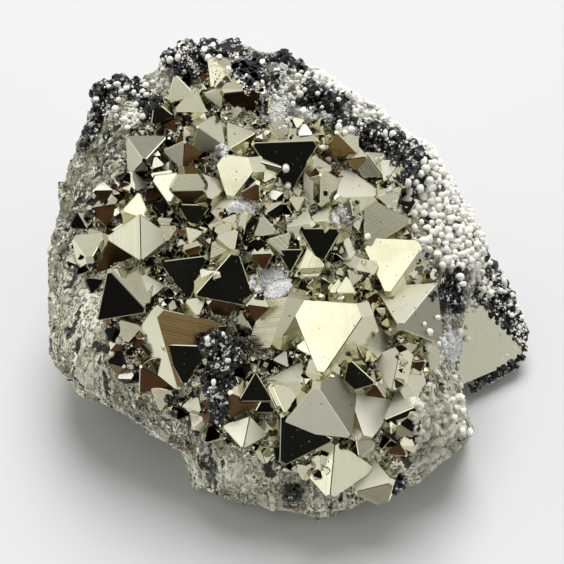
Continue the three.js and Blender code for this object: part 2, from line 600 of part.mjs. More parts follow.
function lumpsOn(spots, seed, grow, { rise = 0, depth } = {}) {
  const depths = spots.map(([x, y, size]) => onFront(x, y).w + (rise - LUMP_SUNK * size) * PIXEL);
  const common = depths.reduce((sum, w) => sum + w, 0) / depths.length;
  return joined(spots.map(([x, y, size], i) => {
    const w = depth === undefined ? THREE.MathUtils.lerp(depths[i], common, LUMP_LEVELLING) : depth;
    const { u, v } = pixelAt(x, y, w);
    return lumpSolid(fromPicture(u, v, w), size * PIXEL, seed + i, grow);
  }));
}

// A place on the crust. Both shares run from 0 to 1 over it.
function crustPoint(share, across, grow) {
  const turn = THREE.MathUtils.lerp(...CRUST_TURN, share);
  const start = CRUST_TIP[0] + CRUST_TIP_SHIFT * share;
  return skinPoint(turn, THREE.MathUtils.lerp(start, CRUST_TIP[1], across), grow);
}

// The crust is a sheet over the block's skin, knobbed with the tops of packed balls.
function crustSheet(seed) {
  const random = randomFrom(seed);
  const [turns, tips] = CRUST_STEPS;
  const points = [];
  for (let layer = 0; layer < 2; layer += 1) {
    for (let i = 0; i <= turns; i += 1) {
      for (let j = 0; j <= tips; j += 1) {
        const knob = (i + j) % 2 === 0 ? CRUST_KNOB * (0.5 + random()) : 0;
        const grow = layer === 0 ? -2 * SEAM : CRUST_THICKNESS + knob;
        points.push(crustPoint(i / turns, j / tips, grow));
      }
    }
  }
  const layerSize = (turns + 1) * (tips + 1);
  const at = (layer, i, j) => layer * layerSize + i * (tips + 1) + j;
  const faces = [];
  const quad = (a, b, c, d) => faces.push(a, b, c, a, c, d);
  for (let i = 0; i < turns; i += 1) {
    for (let j = 0; j < tips; j += 1) {
      const corners = [[i, j], [i, j + 1], [i + 1, j + 1], [i + 1, j]];
      const top = corners.map(([a, b]) => at(1, a, b));
      if ((i + j) % 2 === 0) quad(...top);
      else quad(top[1], top[2], top[3], top[0]);
      quad(...corners.reverse().map(([a, b]) => at(0, a, b)));
    }
    quad(at(0, i, 0), at(1, i, 0), at(1, i + 1, 0), at(0, i + 1, 0));
    quad(at(0, i, tips), at(0, i + 1, tips), at(1, i + 1, tips), at(1, i, tips));
  }
  for (let j = 0; j < tips; j += 1) {
    quad(at(0, 0, j), at(0, 0, j + 1), at(1, 0, j + 1), at(1, 0, j));
    quad(at(0, turns, j), at(1, turns, j), at(1, turns, j + 1), at(0, turns, j + 1));
  }
  return solidFrom(closedMesh(points, faces));
}

function crustBalls(seed) {
  const random = randomFrom(seed);
  const balls = [];
  while (balls.length < CRUST_BALLS) {
    const radius = THREE.MathUtils.lerp(...CRUST_BALL_RADIUS, random());
    const ball = new THREE.IcosahedronGeometry(radius, 0);
    const [share, across] = CRUST_BALL_RANGE.map((range) => THREE.MathUtils.lerp(...range, random()));
    const p = crustPoint(share, across, CRUST_THICKNESS);
    balls.push(solidFrom(ball.translate(p.x, p.y, p.z)));
  }
  return balls;
}

// A six-sided needle with a pointed end, from a place along a direction.
function needleSolid(place, direction, length, radius) {
  const profile = [[0, 0], [radius, 0], [radius, NEEDLE_SHOULDER * length], [0, length]];
  const points = profile.map(([x, y]) => new THREE.Vector2(x, y));
  const needle = new THREE.LatheGeometry(points, NEEDLE_SIDES);
  const turn = new THREE.Quaternion().setFromUnitVectors(new THREE.Vector3(0, 1, 0), direction);
  needle.applyQuaternion(turn).translate(place.x, place.y, place.z);
  return solidFrom(needle);
}

function quartzSeat([x, y, size]) {
  const w = onFront(x, y).w + QUARTZ_PROUD * size * PIXEL;
  const { u, v } = pixelAt(x, y, w);
  return fromPicture(u, v, w);
}

function quartzCore(spot, grow) {
  const place = quartzSeat(spot);
  const core = new THREE.IcosahedronGeometry(QUARTZ_CORE * spot[2] * PIXEL + grow, 0);
  return solidFrom(core.translate(place.x, place.y, place.z));
}

function quartzCluster(spot, seed) {
  const random = randomFrom(seed);
  const reach = spot[2] * PIXEL;
  const place = quartzSeat(spot);
  const parts = [quartzCore(spot, 0)];
  for (let i = 0; i < QUARTZ_NEEDLES; i += 1) {
    const around = (2 * Math.PI * (i + NEEDLE_SCATTER * random())) / QUARTZ_NEEDLES;
    const lean = THREE.MathUtils.lerp(...NEEDLE_LEAN, random());
    const direction = new THREE.Vector3()
      .addScaledVector(RIGHT, Math.sin(lean) * Math.cos(around))
      .addScaledVector(UP, Math.sin(lean) * Math.sin(around))
      .addScaledVector(TOWARDS, Math.cos(lean));
    const length = reach * THREE.MathUtils.lerp(...NEEDLE_LENGTH, random());
    parts.push(needleSolid(place, direction, length, QUARTZ_THICKNESS * reach));
  }
  return joined(parts);
}

const lumpMakers = Object.entries(SPHALERITE).map(([name, spots], i) => {
  const rise = name === POCKETED ? POCKETED_RISE : 0;
  return { name, make: (grow) => lumpsOn(spots, SEED.lumps * (i + 1), grow, { rise }) };
});
lumpMakers.push({
  name: 'sphalerite_corner_rim',
  make: (grow) => lumpsOn(CORNER_RIM, SEED.cornerRim, grow, { depth: CORNER_RIM_DEPTH }),
});
const pocketed = lumpMakers.find(({ name }) => name === POCKETED);

// The pyrite, with room for the pocketed lumps and for the cores of the quartz clusters.
function pyriteSolid(grow) {
  const quartzPockets = joined(QUARTZ.map((spot) => quartzCore(spot, SEAM - grow)));
  return joined([blockSolid(grow), allCrystals(grow)]).subtract(quartzPockets)
    .subtract(pocketed.make(SEAM - grow));
}

const floor = ground();
const pyrite = largestBody(pyriteSolid(0).subtract(floor));
const specimen = new THREE.Group();
specimen.add(namedMesh('pyrite_mass', pyrite, COLOURS.pyrite));
specimen.add(namedMesh(POCKETED, pocketed.make(0), COLOURS.sphalerite));

let keptClear = joined([pyriteSolid(SEAM), floor, pocketed.make(SEAM)]);
for (const { name, make } of lumpMakers) {
  if (name === POCKETED) continue;
  const lump = largestBody(make(0).subtract(keptClear));
  specimen.add(namedMesh(name, lump, COLOURS.sphalerite));
  keptClear = keptClear.add(make(SEAM));
}
QUARTZ.forEach((spot, i) => {
  const cluster = largestBody(quartzCluster(spot, SEED.quartz + i).subtract(keptClear));
  specimen.add(namedMesh(`quartz_cluster_${i + 1}`, cluster, COLOURS.quartz));
});
const crust = joined([crustSheet(SEED.crust), ...crustBalls(SEED.balls)]);
specimen.add(namedMesh('dolomite_crust', largestBody(crust.subtract(keptClear)), COLOURS.dolomite));

specimen.position.set(...CENTRING);

export default specimen;
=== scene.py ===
"""A pyrite specimen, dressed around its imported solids.

Octahedral pyrite crystals stand on a block of massive pyrite, among black sphalerite lumps, white
dolomite beads and druses of quartz needles. Places on the front are read from the photograph as
pixels of its 564 by 564 frame. Shapes are worked out in millimetres and made in metres.
"""

from __future__ import annotations

import logging
import math
from dataclasses import dataclass, field
from enum import Enum

import bmesh
import bpy
import numpy as np
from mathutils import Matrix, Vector, kdtree, noise
from mathutils.bvhtree import BVHTree

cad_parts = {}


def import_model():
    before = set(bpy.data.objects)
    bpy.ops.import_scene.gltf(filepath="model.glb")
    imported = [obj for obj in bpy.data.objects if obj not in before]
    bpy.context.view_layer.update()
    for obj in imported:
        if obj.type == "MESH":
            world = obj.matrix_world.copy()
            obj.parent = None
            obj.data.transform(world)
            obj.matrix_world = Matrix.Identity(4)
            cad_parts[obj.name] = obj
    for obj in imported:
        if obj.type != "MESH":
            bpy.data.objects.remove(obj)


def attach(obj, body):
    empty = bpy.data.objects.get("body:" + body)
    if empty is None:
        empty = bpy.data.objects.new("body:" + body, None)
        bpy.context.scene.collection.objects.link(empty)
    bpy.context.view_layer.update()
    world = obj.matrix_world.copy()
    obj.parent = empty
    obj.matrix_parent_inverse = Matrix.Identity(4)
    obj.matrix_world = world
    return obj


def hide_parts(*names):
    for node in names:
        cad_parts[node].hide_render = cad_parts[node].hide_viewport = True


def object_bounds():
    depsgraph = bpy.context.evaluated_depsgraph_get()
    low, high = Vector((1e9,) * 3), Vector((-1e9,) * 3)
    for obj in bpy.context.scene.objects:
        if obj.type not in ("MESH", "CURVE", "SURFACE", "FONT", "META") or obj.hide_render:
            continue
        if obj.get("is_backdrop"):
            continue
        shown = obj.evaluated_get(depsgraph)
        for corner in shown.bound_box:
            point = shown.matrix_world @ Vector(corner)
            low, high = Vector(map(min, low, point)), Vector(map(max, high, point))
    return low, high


log = logging.getLogger("specimen")

MM = 0.001
BODY = "root"
# A depth behind the whole specimen, in millimetres towards the eye.
BEHIND = -40.0

Array = np.ndarray
Chance = np.random.Generator
Material = bpy.types.Material
Socket = bpy.types.NodeSocket
Mesh = tuple[np.ndarray, list]
Duo = tuple[float, float]
Trio = tuple[float, float, float]


def unit(vectors: Array) -> Array:
    """Scale vectors to unit length along their last axis."""
    return vectors / np.maximum(np.linalg.norm(vectors, axis=-1, keepdims=True), 1e-12)


def smoothstep(low: float, high: float, values: Array) -> Array:
    """Ramp smoothly from 0 at low to 1 at high."""
    share = np.clip((values - low) / (high - low), 0.0, 1.0)
    return share * share * (3.0 - 2.0 * share)


def bearing(azimuth: float, elevation: float) -> Array:
    """Direction for degrees of azimuth, 0 towards the front and positive to the right, and elevation."""
    a, e = math.radians(azimuth), math.radians(elevation)
    return np.array([math.sin(a) * math.cos(e), -math.cos(a) * math.cos(e), math.sin(e)])


@dataclass(frozen=True)
class PhotoView:
    """The photograph's view: u runs right, v up the picture and w towards the eye, in millimetres."""

    photo_size: float = 564.0
    specimen_pixels: float = 482.0
    specimen_width: float = 72.0
    lens: float = 90.0
    sensor: float = 36.0
    elevation: float = 55.0
    aim: Trio = (-2.0, 0.8, 17.136)

    @property
    def focal(self) -> float:
        """Focal length in pixels."""
        return self.lens / self.sensor * self.photo_size

    @property
    def distance(self) -> float:
        """Distance of the eye from the aimed-at point."""
        return self.focal * self.pixel

    @property
    def pixel(self) -> float:
        """Size of a pixel at the aimed-at point."""
        return self.specimen_width / self.specimen_pixels

    @property
    def axes(self) -> Array:
        """Rows: right, up the picture, and towards the eye."""
        right, towards = np.array([1.0, 0.0, 0.0]), bearing(0.0, self.elevation)
        return np.array([right, np.cross(towards, right), towards])

    @property
    def eye(self) -> Array:
        """Where the photograph was taken from."""
        return np.array(self.aim) + self.axes[2] * self.distance

    def place(self, u: Array, v: Array, w: Array) -> Array:
        """Turn picture axes into places.

        Args:
            u: Across the picture.
            v: Up the picture.
            w: Towards the eye.

        Returns:
            Places, with their three coordinates on the last axis.
        """
        return np.array(self.aim) + np.stack(np.broadcast_arrays(u, v, w), axis=-1) @ self.axes

    def picture(self, x: Array, y: Array, w: Array) -> tuple[Array, Array]:
        """Find what lies behind pixels at a given depth.

        Args:
            x: Pixels across.
            y: Pixels down.
            w: How far towards the eye.

        Returns:
            The two picture axes u and v.
        """
        scale = (self.distance - w) / self.focal
        return (x - self.photo_size / 2) * scale, (self.photo_size / 2 - y) * scale

    def pixels(self, places: Array) -> Array:
        """Project places to pixels.

        Args:
            places: Places, with their coordinates on the last axis.

        Returns:
            Pixels x and y on the last axis.
        """
        seen = (places - np.array(self.aim)) @ self.axes.T
        scale = self.focal / (self.distance - seen[..., 2])
        half = self.photo_size / 2
        return np.stack([half + seen[..., 0] * scale, half - seen[..., 1] * scale], axis=-1)

    def axes_at(self, place: Array) -> Array:
        """Side, top and line of sight, as rows, for one place.

        Args:
            place: The place.

        Returns:
            Three unit vectors, one a row.
        """
        sight = unit(self.eye - place)
        side = unit(np.cross(self.axes[1], sight))
        return np.array([side, np.cross(sight, side), sight])


VIEW = PhotoView()

# The massive block's outline, in pixels.
BLOCK_OUTLINE = (
    (99, 104), (112, 87), (135, 86), (158, 74), (178, 52), (205, 50), (232, 46), (258, 56),
    (285, 60), (312, 74), (340, 92), (368, 110), (398, 134), (424, 152), (440, 176), (456, 205),
    (470, 230), (476, 254), (468, 290), (458, 330), (452, 370), (462, 402), (472, 430), (446, 455),
    (410, 477), (365, 494), (325, 512), (272, 506), (222, 488), (197, 480), (186, 450), (150, 428),
    (112, 402), (72, 374), (54, 340), (50, 300), (56, 250), (68, 200), (84, 150),
)


@dataclass
class BlockSkin:
    """The massive block's skin: a full dome in front of the rim and a deeper back behind it."""

    rise: float = 0.235 * VIEW.specimen_width
    depth: float = 0.39 * VIEW.specimen_width
    rim_slope: float = 0.06
    taper: float = 0.42
    swelling: float = 0.9
    front_power: float = 2.5
    back_power: float = 2.8
    steps_along_outline: int = 16

    def __post_init__(self) -> None:
        """Work the rim out from the block's outline."""
        corners = np.array(BLOCK_OUTLINE, float)
        ends = np.roll(corners, -1, axis=0)
        shares = np.linspace(0.0, 1.0, self.steps_along_outline, endpoint=False)[:, None, None]
        x, y = (corners + (ends - corners) * shares).reshape(-1, 2).T
        lean = -self.rim_slope * (VIEW.photo_size / 2 - y) * VIEW.pixel
        u, v = VIEW.picture(x, y, lean)
        angles = np.arctan2(v, u) % (2 * math.pi)
        order = np.argsort(angles)
        self.angles, self.radii = angles[order], np.hypot(u, v)[order]

    def rim(self, angles: Array) -> Array:
        """Distance of the rim from the middle at the given angles."""
        return np.interp(angles % (2 * math.pi), self.angles, self.radii, period=2 * math.pi)

    def front_depth(self, u: Array, v: Array) -> Array:
        """Depth of the dome in front, from picture axes.

        Args:
            u: Across the picture.
            v: Up the picture.

        Returns:
            Depths towards the eye.
        """
        share = np.minimum(1.0, np.hypot(u, v) / self.rim(np.arctan2(v, u)))
        dome = (1.0 - share**self.front_power) ** (1.0 / self.front_power)
        return -self.rim_slope * v + self.rise * dome

    def on_front(self, x: Array, y: Array) -> Array:
        """Depths at which the eye's rays through pixels meet the dome.

        Args:
            x: Pixels across.
            y: Pixels down.

        Returns:
            Depths towards the eye.
        """
        w = np.zeros(np.shape(x))
        for _ in range(12):
            w = 0.5 * w + 0.5 * self.front_depth(*VIEW.picture(x, y, w))
        return w

    def swell(self, p: Array) -> Array:
        """Slow swells of the broken rock, from -1 to 1.

        Args:
            p: Places.

        Returns:
            One height for each place, as a share of the swelling.
        """
        x, y, z = np.moveaxis(p - np.array([VIEW.aim[0], VIEW.aim[1], 0.0]), -1, 0)
        waves = (
            np.sin(0.21 * x + 0.13 * y + 1.3)
            + np.sin(0.17 * y - 0.23 * z + 0.4)
            + np.sin(0.41 * z + 0.29 * x - 0.7)
            + np.sin(0.47 * y + 0.38 * x + 2.1)
            + np.sin(0.63 * x - 0.52 * z + 4.0)
        )
        return waves / 5.0

    def outward(self, p: Array) -> Array:
        """Directions away from the block's inside."""
        return unit(p - VIEW.place(0.0, 0.0, 0.2 * self.rise))

    def point(self, turn: Array, tip: Array, grow: Array) -> Array:
        """Points of the skin.

        Args:
            turn: Angles round the picture.
            tip: Angles from 0 at the front to pi at the back.
            grow: How far out of the skin.

        Returns:
            Places on the skin.
        """
        front = tip <= math.pi / 2
        power = np.where(front, self.front_power, self.back_power)
        across = np.sin(np.clip(tip, 0.0, math.pi)) ** (2.0 / power) * self.rim(turn)
        u, v = across * np.cos(turn), across * np.sin(turn)
        depth = np.where(front, self.rise, self.taper * v - self.depth)
        along = np.abs(np.cos(tip)) ** (2.0 / power) * depth
        p = VIEW.place(u, v, -self.rim_slope * v + along)
        step = self.swelling * self.swell(p) + grow
        return p + self.outward(p) * np.asarray(step)[..., None]


SKIN = BlockSkin()


class Tone(Enum):
    """What a crystal face mirrors to the eye."""

    BLACK = "the dark front of the studio"
    BROWN = "its warm low front"
    GREY = "the fading edge of the dark front"
    PALE = "its plain white walls"
    BRIGHT = "one of its lamps"


@dataclass(frozen=True)
class Zone:
    """A cone of the studio with its own light."""

    azimuth: float
    elevation: float
    reach: float
    fade: float
    light: Trio

    def angle(self, directions: Array) -> Array:
        """Degrees between directions and the middle of the zone."""
        cosines = directions @ bearing(self.azimuth, self.elevation)
        return np.degrees(np.arccos(np.clip(cosines, -1.0, 1.0)))


STUDIO = {
    Tone.BRIGHT: (
        Zone(-80.0, 54.0, 18.0, 12.0, (1.75, 1.75, 1.68)),
        Zone(95.0, 52.0, 19.0, 12.0, (1.75, 1.75, 1.68)),
        Zone(-92.0, 12.0, 16.0, 14.0, (1.6, 1.6, 1.55)),
    ),
    Tone.BROWN: (Zone(0.0, -36.0, 18.0, 14.0, (0.42, 0.395, 0.35)),),
    Tone.BLACK: (Zone(4.0, 35.0, 24.0, 14.0, (0.012, 0.013, 0.014)),),
}


def misfit(tone: Tone, directions: Array) -> Array:
    """How far directions are from the part of the studio that gives a tone.

    Args:
        tone: The tone that is wanted.
        directions: Unit vectors on the last axis.

    Returns:
        0 inside that part, growing by 1 for each 30 degrees outside it.
    """
    dark = STUDIO[Tone.BLACK][0]
    if tone is Tone.GREY:
        off = np.abs(dark.angle(directions) - dark.reach - 0.6 * dark.fade) - 3.0
        return np.maximum(0.0, off) / 30.0
    if tone is Tone.PALE:
        zones = [zone for group in STUDIO.values() for zone in group]
        off = [np.maximum(0.0, zone.reach + zone.fade - zone.angle(directions)) for zone in zones]
        return np.sum(off, axis=0) / 30.0
    off = [np.maximum(0.0, zone.angle(directions) - 0.8 * zone.reach) for zone in STUDIO[tone]]
    return np.min(off, axis=0) / 30.0


def self_mirroring(directions: Array) -> Array:
    """How far directions point down into the specimen itself, growing by 1 for each 30 degrees."""
    return np.maximum(0.0, -np.degrees(np.arcsin(directions[..., 2])) - 5.0) / 30.0


@dataclass(frozen=True)
class Face:
    """A crystal read by one face: its corners in pixels, the way it leans, its tone and its rise."""

    corners: tuple[Duo, ...]
    lean: Duo
    tone: Tone
    rise: float
    blunt: Trio = (0.03, 0.03, 0.03)
    stripes: float = 0.0


@dataclass(frozen=True)
class Pair:
    """A crystal read by the edge between two faces and those faces' far corners, in pixels."""

    edge: tuple[Duo, Duo]
    thirds: tuple[Duo, Duo]
    tones: tuple[Tone, Tone]
    rise: float
    stripes: float = 0.0
    beside: bool = False
    blunt: Trio = (0.02, 0.02, 0.02)


BLACK, BROWN, GREY, PALE, BRIGHT = Tone

# The crystals that the photograph shows clearly, from the top down.
CRYSTALS = (
    Face(((206, 57), (231, 70), (212, 90)), (-0.35, 0.35), BRIGHT, 6),
    Face(((213, 87), (240, 91), (225, 71)), (0.2, -0.1), GREY, 7),
    Face(((218, 94), (263, 90), (250, 121)), (0, -0.5), BROWN, 2),
    Face(((178, 72), (193, 93), (166, 108)), (-0.5, 0), GREY, 3),
    Face(((196, 85), (206, 111), (172, 112)), (0, 0.5), PALE, 5),
    Face(((202, 94), (222, 87), (221, 109)), (-0.35, -0.35), PALE, 2),
    Face(((225, 97), (241, 112), (235, 125)), (-0.5, 0), BRIGHT, 3),
    Pair(((197, 129), (226, 147)), ((222, 117), (190, 150)), (PALE, GREY), 4),
    Face(((228, 149), (257, 132), (226, 122)), (0, 0.5), PALE, 2),
    Pair(((180, 138), (180, 168)), ((162, 158), (203, 146)), (GREY, BROWN), 3),
    Face(((251, 143), (320, 141), (288, 199)), (0.05, -0.36), BLACK, 5, (0.02, 0.02, 0.12)),
    Face(((258, 160), (267, 153), (284, 168)), (0, 0.5), PALE, 10),
    Face(((264, 169), (276, 177), (263, 184)), (-0.3, 0.3), BRIGHT, 9),
    Face(((212, 152), (262, 160), (230, 204)), (-0.35, 0.35), BRIGHT, 9, (0.16, 0.2, 0.12)),
    Face(((150, 176), (184, 172), (170, 205)), (-0.3, 0.3), BRIGHT, 4, (0.1, 0.06, 0.1)),
    Pair(((169, 191), (208, 190)), ((189, 156), (188, 209)), (PALE, BROWN), 6, 0.0, False,
         (0.03, 0.03, 0.4)),
    Face(((196, 172), (233, 184), (209, 201)), (0.35, 0.35), PALE, 5),
    Face(((209, 211), (230, 192), (236, 204)), (0, 0.5), PALE, 5),
    Face(((241, 197), (258, 176), (257, 208)), (0.35, -0.35), BROWN, 5),
    Face(((175, 205), (212, 207), (194, 230)), (0, -0.5), BLACK, 1),
    Face(((158, 224), (178, 226), (168, 243)), (0.35, 0.35), GREY, 2),
    Face(((124, 208), (136, 191), (153, 224)), (-0.35, 0.35), BRIGHT, 5),
    Pair(((140, 214), (141, 261)), ((104, 232), (173, 243)), (PALE, PALE), 9),
    Face(((71, 236), (107, 231), (89, 262)), (-0.3, 0.4), PALE, 6, (0.08, 0.1, 0.1)),
    Face(((110, 236), (142, 264), (94, 274)), (-0.1, -0.35), BROWN, 5),
    Pair(((103, 273), (141, 317)), ((149, 270), (106, 316)), (PALE, BLACK), 6),
    Face(((142, 272), (166, 286), (149, 300)), (0.35, 0.35), PALE, 3),
    Face(((159, 261), (207, 256), (190, 302)), (-0.12, -0.1), BLACK, 4),
    Face(((239, 247), (255, 306), (194, 298)), (0.18, 0.05), BLACK, 9, (0.08, 0.02, 0.02)),
    Face(((202, 270), (218, 269), (201, 293)), (-0.35, 0.35), BRIGHT, 3),
    Face(((184, 299), (206, 296), (198, 318)), (-0.3, 0.4), PALE, 6),
    Face(((205, 300), (240, 304), (220, 324)), (0, -0.5), BROWN, 4, (0.1, 0.1, 0.34)),
    Pair(((154, 308), (178, 391)), ((142, 354), (218, 321)), (PALE, BROWN), 2, 1.0, True),
    Face(((138, 364), (174, 390), (142, 392)), (-0.2, -0.6), BROWN, 1),
    Face(((168, 344), (207, 342), (182, 392)), (-0.1, -0.2), BLACK, 4, (0.02, 0.2, 0.02)),
    Face(((240, 311), (258, 339), (226, 335)), (-0.1, 0.0), GREY, 7),
    Face(((252, 300), (264, 304), (255, 332)), (-0.6, -0.1), BROWN, 9),
    Face(((274, 268), (311, 343), (250, 356)), (-0.25, 0.3), PALE, 7, (0.28, 0.05, 0.05), 0.4),
    Face(((289, 297), (367, 305), (321, 380)), (-0.22, 0.16), BRIGHT, 18, (0.06, 0.07, 0.08)),
    Face(((354, 334), (362, 360), (334, 361)), (0.2, -0.6), BROWN, 2),
    Face(((354, 302), (393, 339), (360, 380)), (0.45, 0.3), PALE, 3, (0.06, 0.1, 0.12)),
    Pair(((437, 283), (400, 328)), ((376, 282), (442, 350)), (PALE, GREY), 6, 1.0),
    Face(((357, 237), (428, 242), (388, 295)), (0.05, 0.38), BRIGHT, 9, (0.1, 0.08, 0.08)),
    Face(((361, 194), (414, 223), (366, 248)), (0.12, 0.3), GREY, 6, (0.04, 0.05, 0.1)),
    Face(((341, 163), (386, 196), (337, 196)), (0, 0.5), PALE, 5, (0.12, 0.04, 0.04)),
    Face(((326, 164), (346, 186), (322, 213)), (0.5, 0), GREY, 4),
    Face(((302, 167), (321, 196), (308, 212)), (-0.5, 0), PALE, 4),
    Face(((366, 151), (384, 178), (355, 179)), (0.1, -0.4), GREY, 4),
    Face(((349, 158), (364, 153), (358, 180)), (-0.3, -0.4), BROWN, 3, stripes=0.8),
    Face(((403, 159), (381, 163), (379, 183)), (-0.35, 0.35), BRIGHT, 5),
    Face(((336, 130), (358, 156), (325, 159)), (0, -0.42), BROWN, 4, stripes=0.6),
    Face(((377, 197), (402, 186), (395, 214)), (0.35, -0.35), PALE, 3),
    Face(((283, 227), (308, 208), (313, 222)), (0, 0.5), PALE, 3),
    Face(((304, 221), (331, 205), (328, 220)), (0, 0.5), PALE, 2),
    Face(((299, 228), (342, 229), (321, 266)), (0, -0.12), BLACK, 5, (0.02, 0.02, 0.14)),
    Face(((308, 245), (328, 268), (299, 268)), (0, 0.5), BRIGHT, 8),
    Face(((340, 263), (368, 246), (355, 269)), (0, 0.5), PALE, 4),
    Face(((349, 275), (355, 291), (333, 294)), (0, 0.5), BRIGHT, 6),
    Face(((350, 268), (362, 275), (352, 290)), (0.5, 0), GREY, 3),
    Face(((265, 381), (303, 360), (304, 380)), (0, 0.5), PALE, 3),
    Face(((272, 384), (303, 388), (285, 414)), (-0.3, 0.3), PALE, 2),
    Pair(((316, 384), (352, 438)), ((276, 421), (362, 376)), (PALE, GREY), 8),
    Face(((350, 387), (398, 400), (366, 448)), (0.3, 0.3), BRIGHT, 15, (0.12, 0.16, 0.1)),
    Face(((353, 433), (378, 445), (361, 457)), (0, 0.4), GREY, 4),
    Face(((374, 381), (385, 402), (366, 395)), (0, -0.5), BROWN, 6),
    Face(((344, 352), (373, 391), (349, 393)), (-0.35, -0.2), BLACK, 5),
    Face(((372, 356), (396, 342), (391, 396)), (0.35, 0.35), BRIGHT, 6, (0.08, 0.1, 0.06)),
    Face(((383, 421), (396, 391), (423, 402)), (0.2, 0.45), PALE, 3),
    Face(((400, 372), (428, 376), (416, 400)), (0.35, 0.35), PALE, 4),
    Face(((428, 338), (446, 352), (432, 380)), (0.5, 0.1), PALE, 3),
    Face(((231, 386), (256, 404), (231, 426)), (0.35, -0.35), BROWN, 4),
    Face(((239, 402), (272, 401), (256, 371)), (0, -0.1), BLACK, 8),
    Face(((254, 413), (276, 412), (266, 394)), (0, -0.15), BLACK, 5),
    Pair(((250, 416), (243, 449)), ((228, 425), (262, 436)), (PALE, PALE), 3),
    Face(((278, 417), (341, 440), (276, 461)), (-0.1, -0.1), BLACK, 2),
    Face(((337, 442), (377, 467), (328, 500)), (0.42, 0.25), PALE, 5),
    Face(((346, 499), (376, 453), (391, 473)), (0.3, -0.2), BRIGHT, -9, (0.06, 0.1, 0.1)),
    Face(((90, 212), (121, 199), (104, 229)), (-0.3, -0.4), BROWN, 2),
    Pair(((126, 136), (144, 161)), ((160, 141), (135, 172)), (GREY, PALE), 4),
    Face(((132, 168), (148, 187), (136, 192)), (0.5, 0), PALE, 3),
    Face(((159, 99), (171, 113), (150, 131)), (-0.35, 0.35), BLACK, 3),
    Face(((250, 236), (280, 231), (262, 216)), (0, 0.5), GREY, 4),
    Face(((266, 240), (292, 232), (286, 258)), (0.3, 0.2), GREY, 4),
    Face(((216, 236), (238, 228), (234, 252)), (0.1, 0.4), PALE, 5),
    Face(((213, 240), (229, 250), (209, 260)), (-0.35, 0.35), GREY, 6),
    Face(((252, 254), (272, 252), (263, 274)), (-0.35, -0.35), BROWN, 4),
    Face(((183, 252), (202, 244), (196, 262)), (0, -0.5), BROWN, 4),
    Face(((186, 226), (203, 231), (188, 246)), (-0.5, 0), GREY, 4),
    Face(((310, 355), (320, 378), (306, 376)), (-0.35, -0.35), PALE, 5),
    Face(((270, 130), (288, 126), (284, 144)), (0.1, 0.4), GREY, 2),
    Face(((280, 250), (302, 246), (288, 276)), (-0.4, -0.2), BLACK, 4),
    Face(((340, 232), (366, 242), (350, 260)), (0.2, 0.4), PALE, 3),
    Face(((150, 386), (176, 392), (160, 412)), (-0.3, -0.3), GREY, 1),
    Face(((118, 318), (142, 326), (126, 346)), (-0.3, 0.1), GREY, 1),
)

# Painted reflections that a crystal's face can carry (brown, dark, pale with frost, lamp highlight), and
# the shares of the small crystals' faces that get them at random.
PAINTED_REFLECTIONS = ("painted_brown_reflection", "painted_dark_reflection", "frost_and_painted_pale_reflection", "painted_lamp_highlight")
SMALL_PAINTED_REFLECTIONS = {"painted_brown_reflection": 0.16, "painted_dark_reflection": 0.26, "painted_lamp_highlight": 0.10}

# The large crystal low on the right: its face, its depth, its cut corners, and how deep crystals sit.
CORNER_FACE = Face(((458, 274), (532, 353), (425, 402)), (0.3, 0.12), PALE, 0)
CORNER_DEPTH = -5.0
CORNER_TRIM = 0.12
SUNK = 0.45


def both_ways(arms: Array) -> Array:
    """Each half diagonal of one crystal or of many, followed by its opposite."""
    return np.stack([arms, -arms], axis=-2).reshape(*arms.shape[:-2], 6, 3)


class OctahedronMesh:
    """The topology of an octahedron with bevelled edges and its corners cut square."""

    def __init__(self) -> None:
        """Number the 48 vertices and list the faces: 8 large ones, 12 bevels and 6 corners."""
        signs = [(a, b, c) for a in (0, 1) for b in (0, 1) for c in (0, 1)]
        rings = []
        for a, b, c in signs:
            ring = [a, 2 + b, 4 + c]
            rings.append(ring if (a + b + c) % 2 == 0 else [ring[0], ring[2], ring[1]])
        self.key = [(f, i, j) for f, ring in enumerate(rings) for i in ring for j in ring if i != j]
        number = {key: n for n, key in enumerate(self.key)}
        self.rings = np.array(rings)
        self.faces = []
        follows = {}
        for f, (p, q, r) in enumerate(rings):
            turns = ((p, q), (q, p), (q, r), (r, q), (r, p), (p, r))
            self.faces.append([number[f, i, j] for i, j in turns])
            for i, j in ((p, q), (q, r), (r, p)):
                follows[i, j] = f
        for (i, j), f in follows.items():
            if i < j:
                g = follows[j, i]
                self.faces.append([number[f, j, i], number[f, i, j], number[g, i, j], number[g, j, i]])
        for i in range(6):
            around, edge = [], next(j for (k, j) in follows if k == i)
            for _ in range(4):
                f = follows[i, edge]
                onward = next(j for j in rings[f] if j not in (i, edge))
                around += [number[f, i, edge], number[f, i, onward]]
                edge = onward
            self.faces.append(around)

    def vertices(self, centres: Array, arms: Array, trims: Array, bevel: float) -> Array:
        """Place the vertices of many crystals.

        Args:
            centres: Their centres, one a row.
            arms: Their three half diagonals, right-handed.
            trims: The share cut from each of their six corners.
            bevel: Width by which a face ends short of its edges.

        Returns:
            For each crystal, its 48 vertices.
        """
        corners = both_ways(arms)
        f, i, j = np.array(self.key).T
        ends = corners[:, i] + trims[:, i, None] * (corners[:, j] - corners[:, i])
        middles = corners[:, self.rings].mean(axis=2)[:, f]
        inner_radius = np.linalg.norm(arms[:, 0], axis=1) / math.sqrt(6.0)
        share = np.minimum(0.3, bevel / inner_radius)[:, None, None]
        return centres[:, None] + ends + (middles - ends) * share


OCTAHEDRON = OctahedronMesh()
FRONT_FACE = 0
SECOND_FACE = 1
# Where a face is sampled, and how far in millimetres what it mirrors is looked for.
FACE_SAMPLES = np.array([(0.6, 0.2, 0.2), (0.2, 0.6, 0.2), (0.2, 0.2, 0.6), (0.34, 0.33, 0.33)])
MIRROR_START = 0.08
MIRROR_REACH = 30.0
# How corners past the block's rim are cut back.
DEEPEST_TRIM = 0.62
TRIM_STEP = 0.06
RIM_ROOM = 1.01


